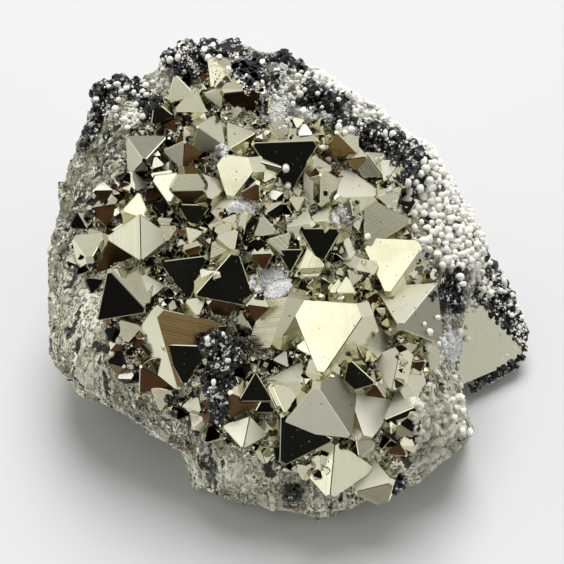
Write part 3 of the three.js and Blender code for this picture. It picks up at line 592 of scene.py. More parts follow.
@dataclass
class Crystal:
    """An octahedron: its centre, half diagonals, cut corners, and the lines on one of its faces."""

    centre: Array
    arms: Array
    trims: Array
    lined_face: int = FRONT_FACE
    lines: float = 0.0
    across_lines: Array | None = None
    seen_faces: tuple[Array, ...] = ()
    seen_corners: tuple[int, ...] = ()
    tones: tuple[Tone, ...] = ()
    blocked: list[float] = field(default_factory=list)
    tint: float | None = None

    def __post_init__(self) -> None:
        """Make the half diagonals right-handed, keeping the near face where it is."""
        if np.dot(self.arms[0], np.cross(self.arms[1], self.arms[2])) < 0:
            self.arms = self.arms[[1, 0, 2]]
            self.trims = self.trims[[2, 3, 0, 1, 4, 5]]

    def mirroring(self, number: int) -> tuple[Array, Array]:
        """The normal of one of the two read faces, and where it mirrors the eye to.

        Args:
            number: 0 for the near face, 1 for the one beside it.

        Returns:
            Both as unit vectors.
        """
        normal = unit(self.arms[0] + self.arms[1] + (1.0, -1.0)[number] * self.arms[2])
        sight = unit(VIEW.eye - self.centre)
        return normal, 2.0 * (normal @ sight) * normal - sight

    def look_round(self, tree: BVHTree) -> None:
        """Note how much of each read face mirrors another crystal rather than the studio.

        Args:
            tree: The surfaces of all the crystals.
        """
        for number, shape in enumerate(self.seen_faces):
            normal, mirrored = self.mirroring(number)
            met = 0
            for pixel in FACE_SAMPLES @ shape:
                start = self.on_face(pixel, normal) + mirrored * MIRROR_START
                met += tree.ray_cast(Vector(start), Vector(mirrored), MIRROR_REACH)[0] is not None
            self.blocked.append(met / len(FACE_SAMPLES))

    def painted_reflections(self) -> dict[str, Array]:
        """How much painted reflection each of the eight faces gets, where a clean mirror would miss its
        tone.

        Returns:
            The painted brown, dark and pale reflections and painted lamp highlights of the faces, the pale
            one with frost.
        """
        painted_amounts = {name: np.zeros(8) for name in PAINTED_REFLECTIONS}
        for number, (tone, blocked) in enumerate(zip(self.tones, self.blocked)):
            face = (FRONT_FACE, SECOND_FACE)[number]
            mirrored = self.mirroring(number)[1]
            off = min(1.0, max(2.0 * float(misfit(tone, mirrored)), 1.3 * blocked))
            # Tones that a clean mirror would miss are painted on as brown, dark and pale reflections and
            # lamp highlights.
            if tone in (Tone.PALE, Tone.BRIGHT, Tone.GREY):
                painted_amounts["frost_and_painted_pale_reflection"][face] = off
            if tone is Tone.BROWN:
                painted_amounts["painted_brown_reflection"][face] = 1.0
            if tone is Tone.BRIGHT:
                painted_amounts["painted_lamp_highlight"][face] = off
            if tone is Tone.PALE:
                painted_amounts["painted_lamp_highlight"][face] = 0.45 * off
            if tone in (Tone.GREY, Tone.BLACK):
                painted_amounts["painted_dark_reflection"][face] = off * (0.5 if tone is Tone.GREY else 1.0)
        return painted_amounts

    def on_face(self, pixel: Array, normal: Array) -> Array:
        """Find where the eye's ray through a pixel meets the plane of a read face.

        Args:
            pixel: The pixel.
            normal: The face's normal.

        Returns:
            The place.
        """
        ray = VIEW.place(*VIEW.picture(*pixel, 0.0), 0.0) - VIEW.eye
        reach = ((self.centre + self.arms[0] - VIEW.eye) @ normal) / (ray @ normal)
        return VIEW.eye + ray * reach

    def face_depth(self, pixel: Duo) -> float:
        """Depth at which the eye's ray through a pixel meets the plane of the near face."""
        place = self.on_face(pixel, unit(self.arms.sum(axis=0)))
        return float((place - np.array(VIEW.aim)) @ VIEW.axes[2])

    def blunt_outside(self) -> None:
        """Cut back the corners that would stand out past the block's rim."""
        for number, arm in enumerate(both_ways(self.arms)):
            for trim in np.arange(self.trims[number], DEEPEST_TRIM, TRIM_STEP):
                seen = (self.centre + (1.0 - trim) * arm - np.array(VIEW.aim)) @ VIEW.axes.T
                if np.hypot(seen[0], seen[1]) < RIM_ROOM * SKIN.rim(np.arctan2(seen[1], seen[0])):
                    break
                self.trims[number] = trim


def gathered(crystals: list[Crystal]) -> tuple[Array, Array, Array]:
    """The centres, half diagonals and cut corners of crystals."""
    names = ("centre", "arms", "trims")
    return tuple(np.array([getattr(crystal, name) for crystal in crystals]) for name in names)


@dataclass
class CrystalReader:
    """Works crystals out from what the photograph shows of them."""

    widest_tilt: float = 0.92
    steepest: float = 0.86
    tilt_steps: int = 93
    shape_weight: float = 6.0
    lean_weight: float = 0.25

    def from_face(self, face: Face, depth: float | None = None) -> Crystal:
        """Find the octahedron whose face fits three pixels and mirrors the wanted tone.

        Args:
            face: The face as read.
            depth: Depth of the face's middle, or None to seat the crystal on the block.

        Returns:
            The crystal.
        """
        pixels = np.array(face.corners, float)
        mean = pixels.mean(axis=0)
        level = float(SKIN.on_front(*mean)) if depth is None else depth
        middle = VIEW.place(*VIEW.picture(*mean, level), level)
        axes = VIEW.axes_at(middle)
        scale = (VIEW.distance - level) / VIEW.focal
        seen = (pixels - mean) * np.array([scale, -scale])
        corners, normal = self.fit(seen, axes, face)
        radius = np.linalg.norm(corners[0])
        inner = radius / math.sqrt(2.0)
        proud = 0.0
        if depth is None:
            proud = face.rise * VIEW.pixel + (1.0 - SUNK) * inner * normal[2]
        centre = middle + axes[2] * proud - (normal @ axes) * inner
        arms = (corners + normal * inner) @ axes
        trims = np.full(6, 0.03)
        trims[::2] = face.blunt
        across = arms[0] - 0.5 * (arms[1] + arms[2])
        lines = (FRONT_FACE, face.stripes, unit(across))
        return Crystal(centre, arms, trims, *lines, (pixels,), (0, 2, 4), (face.tone,))

    def fit(self, seen: Array, axes: Array, face: Face) -> tuple[Array, Array]:
        """Fit a regular triangle to three seen corners.

        Args:
            seen: The corners about their middle, as the eye sees them.
            axes: Side, top and line of sight.
            face: The face as read, with its lean and tone.

        Returns:
            The triangle's corners and its normal, both in side, top and sight axes.
        """
        tilts = np.linspace(-self.widest_tilt, self.widest_tilt, self.tilt_steps)
        x, y = (grid.ravel() for grid in np.meshgrid(tilts, tilts))
        kept = x * x + y * y < self.steepest
        x, y = x[kept], y[kept]
        z = np.sqrt(1.0 - x * x - y * y)
        along = np.stack([1.0 - x * x / (1 + z), -x * y / (1 + z), -x], axis=-1)
        upward = np.stack([-x * y / (1 + z), 1.0 - y * y / (1 + z), -y], axis=-1)
        first, second = seen[1] - seen[0], seen[2] - seen[0]
        hand = np.sign(first[0] * second[1] - first[1] * second[0])
        phase = 2.0 * math.pi / 3.0 * np.arange(3)
        cosine, sine = np.cos(phase)[:, None, None], hand * np.sin(phase)[:, None, None]
        flat, turned = along * cosine + upward * sine, upward * cosine - along * sine
        ahead = (flat[..., :2] * seen[:, None]).sum(axis=(0, 2))
        aside = (turned[..., :2] * seen[:, None]).sum(axis=(0, 2))
        weight = (flat[..., :2] ** 2).sum(axis=(0, 2))
        total = (seen**2).sum()
        leftover = 1.0 - (ahead**2 + aside**2) / weight / total
        normals = np.stack([x, y, z], axis=-1)
        mirrored = 2.0 * z[:, None] * normals - np.array([0.0, 0.0, 1.0])
        lean = (x - face.lean[0]) ** 2 + (y - face.lean[1]) ** 2
        cost = self.shape_weight * leftover + misfit(face.tone, mirrored @ axes)
        if face.tone is not Tone.BROWN:
            cost += 0.4 * self_mirroring(mirrored @ axes)
        best = int(np.argmin(cost + self.lean_weight * lean))
        corners = flat[:, best] * ahead[best] + turned[:, best] * aside[best]
        return corners / weight[best], normals[best]

    def from_pair(self, pair: Pair) -> Crystal:
        """Find the octahedron from one edge and the far corners of the two faces that meet there.

        The far corners are opposite each other, so the centre lies between them. The half diagonals
        are equal and square to each other, which gives the third from the other two.

        Args:
            pair: The two faces as read.

        Returns:
            The crystal.
        """
        mean = np.array(pair.thirds, float).mean(axis=0)
        level = float(SKIN.on_front(*mean)) + pair.rise * VIEW.pixel
        centre = VIEW.place(*VIEW.picture(*mean, level), level)
        axes = VIEW.axes_at(centre)
        scale = (VIEW.distance - level) / VIEW.focal
        seen = [complex((x - mean[0]) * scale, (mean[1] - y) * scale) for x, y in pair.edge]
        seen.append(complex(-(seen[0] ** 2) - seen[1] ** 2) ** 0.5)
        radius = math.sqrt(sum(abs(s) ** 2 for s in seen) / 2.0)
        depths = [math.sqrt(max(0.0, radius**2 - abs(s) ** 2)) for s in seen]
        if (seen[0] * seen[1].conjugate()).real > 0:
            depths[1] = -depths[1]
        if (seen[2] * seen[0].conjugate()).real * depths[0] > 0:
            depths[2] = -depths[2]
        facing = 1.0 if depths[0] + depths[1] >= 0 else -1.0
        arms = np.array([[s.real, s.imag, facing * d] for s, d in zip(seen, depths)])
        first = (np.array(pair.thirds[0]) - mean) * np.array([scale, -scale])
        if first @ arms[2, :2] < 0:
            arms[2] = -arms[2]
        arms = self.turned(arms, axes, pair, np.append(first, 0.0)) @ axes
        ends = (arms[0], arms[1], -arms[2])
        tip = 1 if pair.beside else 2
        across = ends[tip] - 0.5 * (ends[0] + ends[3 - tip])
        shapes = tuple(np.array([*pair.edge, third], float) for third in pair.thirds)
        lines = (SECOND_FACE, pair.stripes, unit(across))
        trims = np.full(6, 0.02)
        trims[::2] = pair.blunt
        return Crystal(centre, arms, trims, *lines, shapes, (0, 2, 4, 5), pair.tones)

    def turned(self, arms: Array, axes: Array, pair: Pair, first: Array) -> Array:
        """Turn a crystal a little so that its two faces mirror their tones better.

        Args:
            arms: Half diagonals in side, top and sight axes.
            axes: Those axes.
            pair: The two faces as read.
            first: The first far corner as seen from the centre.

        Returns:
            The turned half diagonals.
        """
        steps = np.radians(np.arange(-15.0, 15.1, 3.0))
        turns = np.stack(np.meshgrid(steps, steps, steps), axis=-1).reshape(-1, 3)
        sine, cosine = np.sin(turns), np.cos(turns)
        best, least = arms, np.inf
        for (sx, sy, sz), (cx, cy, cz) in zip(sine, cosine):
            about_x = np.array([[1, 0, 0], [0, cx, sx], [0, -sx, cx]])
            about_y = np.array([[cy, 0, -sy], [0, 1, 0], [sy, 0, cy]])
            about_z = np.array([[cz, sz, 0], [-sz, cz, 0], [0, 0, 1]])
            tried = arms @ about_x @ about_y @ about_z
            moved = np.linalg.norm((tried - arms)[:, :2], axis=1).sum() / VIEW.pixel
            cost = 0.12 * moved
            for tone, side in zip(pair.tones, (1.0, -1.0)):
                normal = unit(tried[0] + tried[1] + side * tried[2])
                if normal[2] < 0.1:
                    cost += 2.0
                    continue
                mirrored = 2.0 * normal[2] * normal - np.array([0.0, 0.0, 1.0])
                cost += float(misfit(tone, (mirrored @ axes)[None])[0])
            if cost < least:
                best, least = tried, cost
        return best


@dataclass
class Workshop:
    """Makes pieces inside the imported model's box and remembers where their surfaces are."""

    low: Array
    high: Array
    trees: list[BVHTree] = field(default_factory=list)

    def make(
        self,
        name: str,
        vertices: Array,
        faces: list,
        material: Material,
        slot: str,
        nodes: tuple[str, ...] = (),
        smooth: bool = False,
        carries: bool = False,
    ) -> bpy.types.Object:
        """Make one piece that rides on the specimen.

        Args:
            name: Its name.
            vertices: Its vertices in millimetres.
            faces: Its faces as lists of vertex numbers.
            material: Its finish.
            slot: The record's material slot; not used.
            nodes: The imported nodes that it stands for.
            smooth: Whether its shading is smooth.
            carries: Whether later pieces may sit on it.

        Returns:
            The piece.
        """
        margin = 0.004
        kept = np.clip(vertices, self.low + margin, self.high - margin)
        kept[:, 2] = np.clip(vertices[:, 2], 0.0, self.high[2] - margin)
        mesh = bpy.data.meshes.new(name)
        mesh.from_pydata((kept * MM).tolist(), [], faces)
        mesh.polygons.foreach_set("use_smooth", [smooth] * len(mesh.polygons))
        mesh.materials.append(material)
        mesh.validate()
        piece = placed(name, mesh)
        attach(piece, BODY)
        if nodes:
            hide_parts(*nodes)
        if carries:
            self.trees.append(BVHTree.FromPolygons(kept.tolist(), faces))
        log.info("%s: %d vertices, %d faces", name, len(kept), len(faces))
        return piece

    def store(
        self, piece: bpy.types.Object, name: str, domain: str, values: Array, kind: str = "FLOAT"
    ) -> None:
        """Store numbers on a piece for its finish to read.

        Args:
            piece: The piece.
            name: The name that the finish reads them by.
            domain: POINT or FACE.
            values: One number or vector for each.
            kind: FLOAT, or FLOAT_VECTOR for vectors.
        """
        layer = piece.data.attributes.new(name, kind, domain)
        layer.data.foreach_set("value" if kind == "FLOAT" else "vector", values.astype(np.float32).ravel())

    def under(self, x: float, y: float) -> tuple[Array, Array, int] | None:
        """Find the nearest surface behind a pixel.

        Args:
            x: Pixels across.
            y: Pixels down.

        Returns:
            The place, the surface's normal there and the number of the piece that carries it, or
            None where there is none.
        """
        eye = Vector(VIEW.eye)
        far = Vector(VIEW.place(*VIEW.picture(x, y, BEHIND), BEHIND))
        ray = (far - eye).normalized()
        hits = [(number, *tree.ray_cast(eye, ray)) for number, tree in enumerate(self.trees)]
        hits = [hit for hit in hits if hit[1] is not None]
        if not hits:
            return None
        number, place, normal, _, _ = min(hits, key=lambda hit: hit[4])
        normal = np.array(normal) * (1.0 if normal.dot(ray) < 0 else -1.0)
        return np.array(place), normal, number


def joined(parts: list[Mesh]) -> Mesh:
    """Join meshes into one.

    Args:
        parts: Each part's vertices and faces.

    Returns:
        The vertices and faces of all of them.
    """
    faces, start = [], 0
    for vertices, part_faces in parts:
        faces += [[start + i for i in face] for face in part_faces]
        start += len(vertices)
    return np.concatenate([vertices for vertices, _ in parts]), faces


def placed(name: str, data: bpy.types.ID) -> bpy.types.Object:
    """Put an object with its data into the scene.

    Args:
        name: The object's name.
        data: Its mesh, lamp or camera.

    Returns:
        The object.
    """
    item = bpy.data.objects.new(name, data)
    bpy.context.scene.collection.objects.link(item)
    return item


def ball(subdivisions: int) -> Mesh:
    """A unit ball of even triangles.

    Args:
        subdivisions: How often an icosahedron is divided.

    Returns:
        Its vertices and faces.
    """
    shape = bmesh.new()
    bmesh.ops.create_icosphere(shape, subdivisions=subdivisions, radius=1.0)
    vertices = np.array([vertex.co[:] for vertex in shape.verts])
    faces = [[vertex.index for vertex in face.verts] for face in shape.faces]
    shape.free()
    return vertices, faces


def noise_at(points: Array, scale: float) -> Array:
    """Smooth noise from about -1 to 1 at points, with bumps about 1/scale millimetres wide."""
    return np.array([noise.noise(Vector(p)) for p in (points * scale).tolist()])


def borders_at(points: Array, scale: float) -> Array:
    """How far points are from the borders of Voronoi cells about 1/scale millimetres wide.

    Args:
        points: The points.
        scale: Cells to the millimetre.

    Returns:
        One distance for each point, as a share of the cells' width.
    """
    distances = [noise.voronoi(Vector(p))[0] for p in (points * scale).tolist()]
    near = np.array(distances)
    return near[:, 1] - near[:, 0]


class NodeTree:
    """Short way to lay out shader nodes."""

    def __init__(self, tree: bpy.types.NodeTree) -> None:
        """Start from an existing tree and empty it."""
        self.tree = tree
        tree.nodes.clear()

    def add(self, kind: str, inputs: dict | None = None, **settings: object) -> bpy.types.Node:
        """Add a node.

        Args:
            kind: The node's type, without its ShaderNode prefix.
            inputs: Values or sockets for its inputs, by name or number.
            **settings: Its properties.

        Returns:
            The node.
        """
        node = self.tree.nodes.new("ShaderNode" + kind)
        for name, value in settings.items():
            setattr(node, name, value)
        for key, value in (inputs or {}).items():
            socket = node.inputs[key]
            if isinstance(value, Socket):
                self.tree.links.new(value, socket)
            else:
                socket.default_value = (*value[:3], 1.0) if socket.type == "RGBA" else value
        return node

    def maths(self, operation: str, *values: object) -> Socket:
        """Add a Math node and give its output."""
        return self.add("Math", dict(enumerate(values)), operation=operation).outputs[0]

    def times(self, first: object, second: object) -> Socket:
        """Add a Math node that multiplies and give its output."""
        return self.maths("MULTIPLY", first, second)

    def vector(self, operation: str, *values: object) -> Socket:
        """Add a Vector Math node and give the output that the operation fills."""
        node = self.add("VectorMath", dict(enumerate(values)), operation=operation)
        return node.outputs["Value" if operation in ("DOT_PRODUCT", "LENGTH") else "Vector"]

    def ramp(self, value: object, low: float, high: float, to: tuple = (0.0, 1.0)) -> Socket:
        """Add a smooth Map Range node and give its output."""
        inputs = {"Value": value, "From Min": low, "From Max": high, "To Min": to[0], "To Max": to[1]}
        return self.add("MapRange", inputs, interpolation_type="SMOOTHSTEP").outputs["Result"]

    def mix(self, factor: object, first: object, second: object) -> Socket:
        """Add a colour Mix node and give its output."""
        inputs = {0: factor, 6: first, 7: second}
        return self.add("Mix", inputs, data_type="RGBA", clamp_factor=True).outputs[2]

    def place(self) -> Socket:
        """The place in the specimen's own frame, in metres."""
        return self.add("TexCoord").outputs["Object"]


class EffectGroup:
    """A shader node group with named inputs and outputs."""

    def __init__(self, name: str, inputs: dict[str, float], outputs: dict[str, str]) -> None:
        """Make the group's tree and its sockets.

        Args:
            name: The group's name.
            inputs: Its number inputs with their default values.
            outputs: Its outputs with their kinds, Float, Color or Vector.
        """
        self.tree = bpy.data.node_groups.new(name, "ShaderNodeTree")
        self.nodes = NodeTree(self.tree)
        for label, value in inputs.items():
            socket = self.tree.interface.new_socket(label, in_out="INPUT", socket_type="NodeSocketFloat")
            socket.default_value = value
        for label, kind in outputs.items():
            self.tree.interface.new_socket(label, in_out="OUTPUT", socket_type="NodeSocket" + kind)
        self.inputs = self.tree.nodes.new("NodeGroupInput").outputs
        self.results = self.tree.nodes.new("NodeGroupOutput").inputs

    def give(self, label: str, socket: Socket) -> None:
        """Join a socket to one of the group's outputs."""
        self.tree.links.new(socket, self.results[label])

    def put(self, nodes: NodeTree, **values: object) -> bpy.types.NodeOutputs:
        """Place the group in a material.

        Args:
            nodes: The material's nodes.
            **values: Values or sockets for the group's inputs, by name.

        Returns:
            The placed group's outputs.
        """
        inputs = {label.capitalize(): value for label, value in values.items()}
        return nodes.add("Group", inputs, node_tree=self.tree).outputs


class Effects:
    """The effects that several finishes share."""

    def __init__(self) -> None:
        """Build each effect's node group once."""
        self.facets = self.make_facets()
        self.pits = self.make_pits()
        self.grain = self.make_grain()

    def make_facets(self) -> EffectGroup:
        """Small mirror facets: each cell turns the normal its own way.

        Returns:
            The group.
        """
        outputs = {"Normal": "Vector", "Tone": "Float"}
        group = EffectGroup("small facets", {"Scale": 2000.0, "Strength": 0.5}, outputs)
        nodes = group.nodes
        inputs = {"Vector": nodes.place(), "Scale": group.inputs["Scale"]}
        cells = nodes.add("TexVoronoi", inputs).outputs["Color"]
        offset = nodes.vector("SUBTRACT", cells, (0.5, 0.5, 0.5))
        scaled = nodes.add("VectorMath", {0: offset, "Scale": group.inputs["Strength"]}, operation="SCALE")
        normal = nodes.add("NewGeometry").outputs["Normal"]
        group.give("Normal", nodes.vector("NORMALIZE", nodes.vector("ADD", normal, scaled.outputs[0])))
        group.give("Tone", nodes.vector("DOT_PRODUCT", cells, (0.33, 0.33, 0.34)))
        return group

    def make_pits(self) -> EffectGroup:
        """Sparse round pits: a mask that is 1 inside them.

        Returns:
            The group.
        """
        group = EffectGroup("pits", {"Scale": 1000.0, "Size": 0.2, "Share": 0.3}, {"Mask": "Float"})
        nodes = group.nodes
        cells = nodes.add("TexVoronoi", {"Vector": nodes.place(), "Scale": group.inputs["Scale"]})
        lot = nodes.vector("DOT_PRODUCT", cells.outputs["Color"], (1.0, 0.0, 0.0))
        chosen = nodes.maths("LESS_THAN", lot, group.inputs["Share"])
        near = nodes.maths("SUBTRACT", group.inputs["Size"], cells.outputs["Distance"])
        depth = nodes.ramp(near, 0.0, 0.08)
        group.give("Mask", nodes.times(chosen, depth))
        return group

    def make_grain(self) -> EffectGroup:
        """Uneven grain, as a height from 0 to 1.

        Returns:
            The group.
        """
        group = EffectGroup("grain", {"Scale": 800.0, "Detail": 4.0}, {"Height": "Float"})
        nodes = group.nodes
        inputs = {"Vector": nodes.place(), "Scale": group.inputs["Scale"], "Detail": group.inputs["Detail"]}
        group.give("Height", nodes.add("TexNoise", inputs).outputs["Fac"])
        return group


class FinishTree(NodeTree):
    """A material's nodes, with the shared effects at hand and what goes into its shader."""

    def __init__(self, tree: bpy.types.NodeTree, effects: Effects) -> None:
        """Start from an empty tree.

        Args:
            tree: The material's tree.
            effects: The shared effects.
        """
        super().__init__(tree)
        self.effects = effects
        self.shader: dict[str, object] = {}

    def stored(self, name: str) -> Socket:
        """Read a number that is stored on the piece."""
        return self.add("Attribute", attribute_name=name).outputs["Fac"]

    def grain(self, scale: float, detail: float) -> Socket:
        """Place the grain and give its height."""
        return self.effects.grain.put(self, scale=scale, detail=detail)["Height"]

    def pits(self, scale: float, size: float, share: float) -> Socket:
        """Place the pits and give their mask."""
        return self.effects.pits.put(self, scale=scale, size=size, share=share)["Mask"]

    def facets(self, scale: float, strength: object) -> bpy.types.NodeOutputs:
        """Place the small facets and give their normal and tone."""
        return self.effects.facets.put(self, scale=scale, strength=strength)

    def bump(self, height: Socket, strength: float, distance: float, **more: Socket) -> None:
        """Give the shader a bump, over a normal where one is named."""
        inputs = {"Height": height, "Strength": strength, "Distance": distance, **more}
        self.shader["Normal"] = self.add("Bump", inputs).outputs[0]


@dataclass(frozen=True)
class Finish:
    """A finish: a material made from a Principled BSDF and the shared effects."""

    name: str

    def material(self, effects: Effects) -> Material:
        """Make the material.

        Args:
            effects: The shared effects.

        Returns:
            The material.
        """
        material = bpy.data.materials.new(self.name)
        material.use_nodes = True
        nodes = FinishTree(material.node_tree, effects)
        self.dress(nodes)
        shader = nodes.add("BsdfPrincipled", nodes.shader)
        nodes.add("OutputMaterial", {"Surface": shader.outputs[0]})
        return material

    def dress(self, nodes: FinishTree) -> None:
        """Fill the shader's sockets. Each finish does this its own way.

        Args:
            nodes: The material's nodes.
        """
        raise NotImplementedError


@dataclass(frozen=True)
class MirrorPyrite(Finish):
    """Crystal faces: pale brass mirrors with growth lines, pits with painted shade, a faint unevenness, and
    painted reflections and lamp highlights stored on the faces.
    """

    name: str = "mirror pyrite"
    pale: Trio = (0.62, 0.61, 0.47)
    deep: Trio = (0.53, 0.50, 0.36)
    # Painted shade in the pits.
    painted_pit_shade: Trio = (0.05, 0.035, 0.02)
    cool: Trio = (0.47, 0.465, 0.36)
    # Painted brown reflection: red-brown to dark brown, gold-brown along growth lines.
    painted_red_brown: Trio = (0.13, 0.06, 0.031)
    painted_dark_brown: Trio = (0.035, 0.014, 0.008)
    painted_gold_brown: Trio = (0.25, 0.17, 0.075)
    # Painted pale reflection, laid on with frost.
    painted_pale_frost: Trio = (0.78, 0.77, 0.64)
    brown_shade: Trio = (0.12, 0.085, 0.04)
    # Painted lamp highlight.
    white: Trio = (0.97, 0.94, 0.82)
    # Painted dark reflection.
    black: Trio = (0.007, 0.0065, 0.006)

    def dress(self, nodes: FinishTree) -> None:
        """Mirror metal whose growth lines follow the direction stored on each face, with painted
        reflections and lamp highlights stored on each face.

        Args:
            nodes: The material's nodes.
        """
        across = nodes.add("Attribute", attribute_name="growth").outputs["Vector"]
        lined = nodes.stored("lined")
        tint = nodes.stored("tint")
        # Painted reflections stored on each face: brown, dark, pale with frost, and lamp highlight.
        painted_brown_reflection = nodes.stored("painted_brown_reflection")
        painted_dark_reflection = nodes.stored("painted_dark_reflection")
        frost_and_painted_pale_reflection = nodes.stored("frost_and_painted_pale_reflection")
        painted_lamp_highlight = nodes.stored("painted_lamp_highlight")
        distance = nodes.vector("DOT_PRODUCT", nodes.place(), across)
        lines = nodes.add("TexNoise", {"W": nodes.times(distance, 1500.0)}, noise_dimensions="1D")
        cut = nodes.times(nodes.ramp(lines.outputs[0], 0.40, 0.60), lined)
        cut = nodes.times(cut, nodes.maths("MULTIPLY_ADD", painted_dark_reflection, -1.0, 1.0))
        pits = nodes.pits(700.0, 0.12, 0.3)
        specks = nodes.pits(1700.0, 0.2, 0.2)
        marks = nodes.maths("MAXIMUM", pits, nodes.times(specks, 0.35))
        uneven = nodes.grain(320.0, 5.0)
        height = nodes.maths("ADD", nodes.times(cut, 1.2), nodes.times(uneven, 0.8))
        height = nodes.maths("SUBTRACT", height, marks)
        nodes.bump(height, 0.3, 0.00006)
        stains = nodes.ramp(nodes.grain(240.0, 7.0), 0.5, 0.66)
        colour = nodes.mix(nodes.maths("MULTIPLY_ADD", stains, 0.5, tint), self.pale, self.deep)
        colour = nodes.mix(nodes.ramp(tint, 0.6, 1.0), colour, self.cool)
        # Painted pale reflection where frost lies; frost also adds roughness below.
        colour = nodes.mix(nodes.times(frost_and_painted_pale_reflection, 0.7), colour, self.painted_pale_frost)
        deepness = nodes.maths("ADD", tint, nodes.maths("MULTIPLY_ADD", uneven, 1.6, -0.8))
        # Painted brown reflection on the faces that stand for one.
        painted_brown = nodes.mix(nodes.ramp(deepness, 0.1, 0.8), self.painted_red_brown, self.painted_dark_brown)
        painted_brown = nodes.mix(nodes.times(lined, 1.6), painted_brown, self.painted_gold_brown)
        colour = nodes.mix(painted_brown_reflection, colour, painted_brown)
        colour = nodes.mix(nodes.times(cut, 0.45), colour, self.brown_shade)
        # Painted dark reflection.
        colour = nodes.mix(painted_dark_reflection, colour, self.black)
        # Painted lamp highlight: near white, and less metallic below.
        colour = nodes.mix(painted_lamp_highlight, colour, self.white)
        # Painted shade in the pits and small specks.
        colour = nodes.mix(nodes.times(marks, 0.85), colour, self.painted_pit_shade)
        nodes.shader["Base Color"] = colour
        rough = nodes.maths("MULTIPLY_ADD", uneven, 0.14, 0.02)
        rough = nodes.maths("MULTIPLY_ADD", frost_and_painted_pale_reflection, 0.5, rough)
        rough = nodes.maths("MULTIPLY_ADD", painted_brown_reflection, 0.22, rough)
        nodes.shader["Roughness"] = nodes.maths("MULTIPLY_ADD", marks, 0.4, rough)
        nodes.shader["Metallic"] = nodes.maths("MULTIPLY_ADD", painted_lamp_highlight, -0.6, 1.0)


@dataclass(frozen=True)
class MassivePyrite(Finish):
    """The broken block: sparkling grains of pyrite with painted shade in the gaps, cracks and creases
    between them.
    """

    name: str = "massive pyrite"
    pale: Trio = (0.72, 0.72, 0.58)
    dull: Trio = (0.27, 0.255, 0.17)
    rust: Trio = (0.16, 0.07, 0.028)
    # Painted shade in the gaps, cracks and creases between grains.
    gap: Trio = (0.022, 0.018, 0.014)
    # Darker colour in the listed spots.
    darker_spot: Trio = (0.11, 0.105, 0.075)

    def dress(self, nodes: FinishTree) -> None:
        """Metal grains that mirror their own ways, in two sizes.

        Args:
            nodes: The material's nodes.
        """
        rough = nodes.stored("rough_grain")
        layer = nodes.stored("layer")
        darker_spot = nodes.stored("darker_spot")
        spread = nodes.add("VectorMath", {0: nodes.place(), "Scale": 330.0}, operation="SCALE").outputs[0]
        across = nodes.add("CombineXYZ", {"Z": nodes.times(layer, 7.0)}).outputs[0]
        place = nodes.vector("ADD", spread, across)
        inputs = {"Vector": place, "Scale": 1.3, "Detail": 8.0, "Roughness": 0.62}
        streaks = nodes.add("TexNoise", inputs).outputs["Fac"]
        large = nodes.facets(900.0, nodes.maths("MULTIPLY_ADD", rough, 0.85, 0.15))
        small = nodes.facets(2600.0, 1.1)
        grain = nodes.grain(1500.0, 7.0)
        fine = nodes.ramp(nodes.grain(300.0, 2.0), 0.46, 0.56)
        fine = nodes.times(fine, rough)
        normal = nodes.add("Mix", {0: fine, 4: large["Normal"], 5: small["Normal"]}, data_type="VECTOR")
        # Painted shade in creases, cracks and gaps between grains: near black, less metallic, and sunk by
        # the bump.
        crease = nodes.maths("ABSOLUTE", nodes.maths("SUBTRACT", streaks, 0.5))
        painted_crease_shade = nodes.ramp(crease, 0.02, 0.006)
        painted_crack_shade = nodes.ramp(streaks, 0.415, 0.39)
        reach = nodes.maths("MULTIPLY_ADD", darker_spot, 0.02, 0.3)
        lack = nodes.maths("SUBTRACT", nodes.maths("ADD", reach, nodes.times(rough, 0.09)), grain)
        gaps = nodes.maths("MAXIMUM", nodes.ramp(lack, 0.0, 0.03), painted_crack_shade)
        gaps = nodes.maths("MAXIMUM", gaps, nodes.times(painted_crease_shade, 0.8))
        dull = nodes.times(nodes.ramp(streaks, 0.46, 0.62), nodes.ramp(rough, -0.5, 1.0))
        rust = nodes.ramp(nodes.grain(210.0, 6.0), 0.58, 0.68)
        rust = nodes.times(rust, nodes.ramp(grain, 0.42, 0.56))
        colour = nodes.mix(dull, self.pale, self.dull)
        speckled = nodes.ramp(nodes.grain(900.0, 6.0), 0.42, 0.6)
        # Darker in speckles within the listed spots.
        colour = nodes.mix(nodes.times(darker_spot, speckled), colour, self.darker_spot)
        colour = nodes.mix(nodes.times(rust, 0.8), colour, self.rust)
        colour = nodes.mix(gaps, colour, self.gap)
        nodes.shader["Base Color"] = colour
        height = nodes.maths("ADD", grain, nodes.times(streaks, 2.0))
        height = nodes.maths("SUBTRACT", height, gaps)
        nodes.bump(height, 0.7, 0.00026, Normal=normal.outputs[1])
        nodes.shader["Roughness"] = nodes.ramp(grain, 0.3, 0.7, (0.08, 0.42))
        metal = nodes.maths("MULTIPLY_ADD", gaps, -0.5, 0.75)
        nodes.shader["Metallic"] = metal


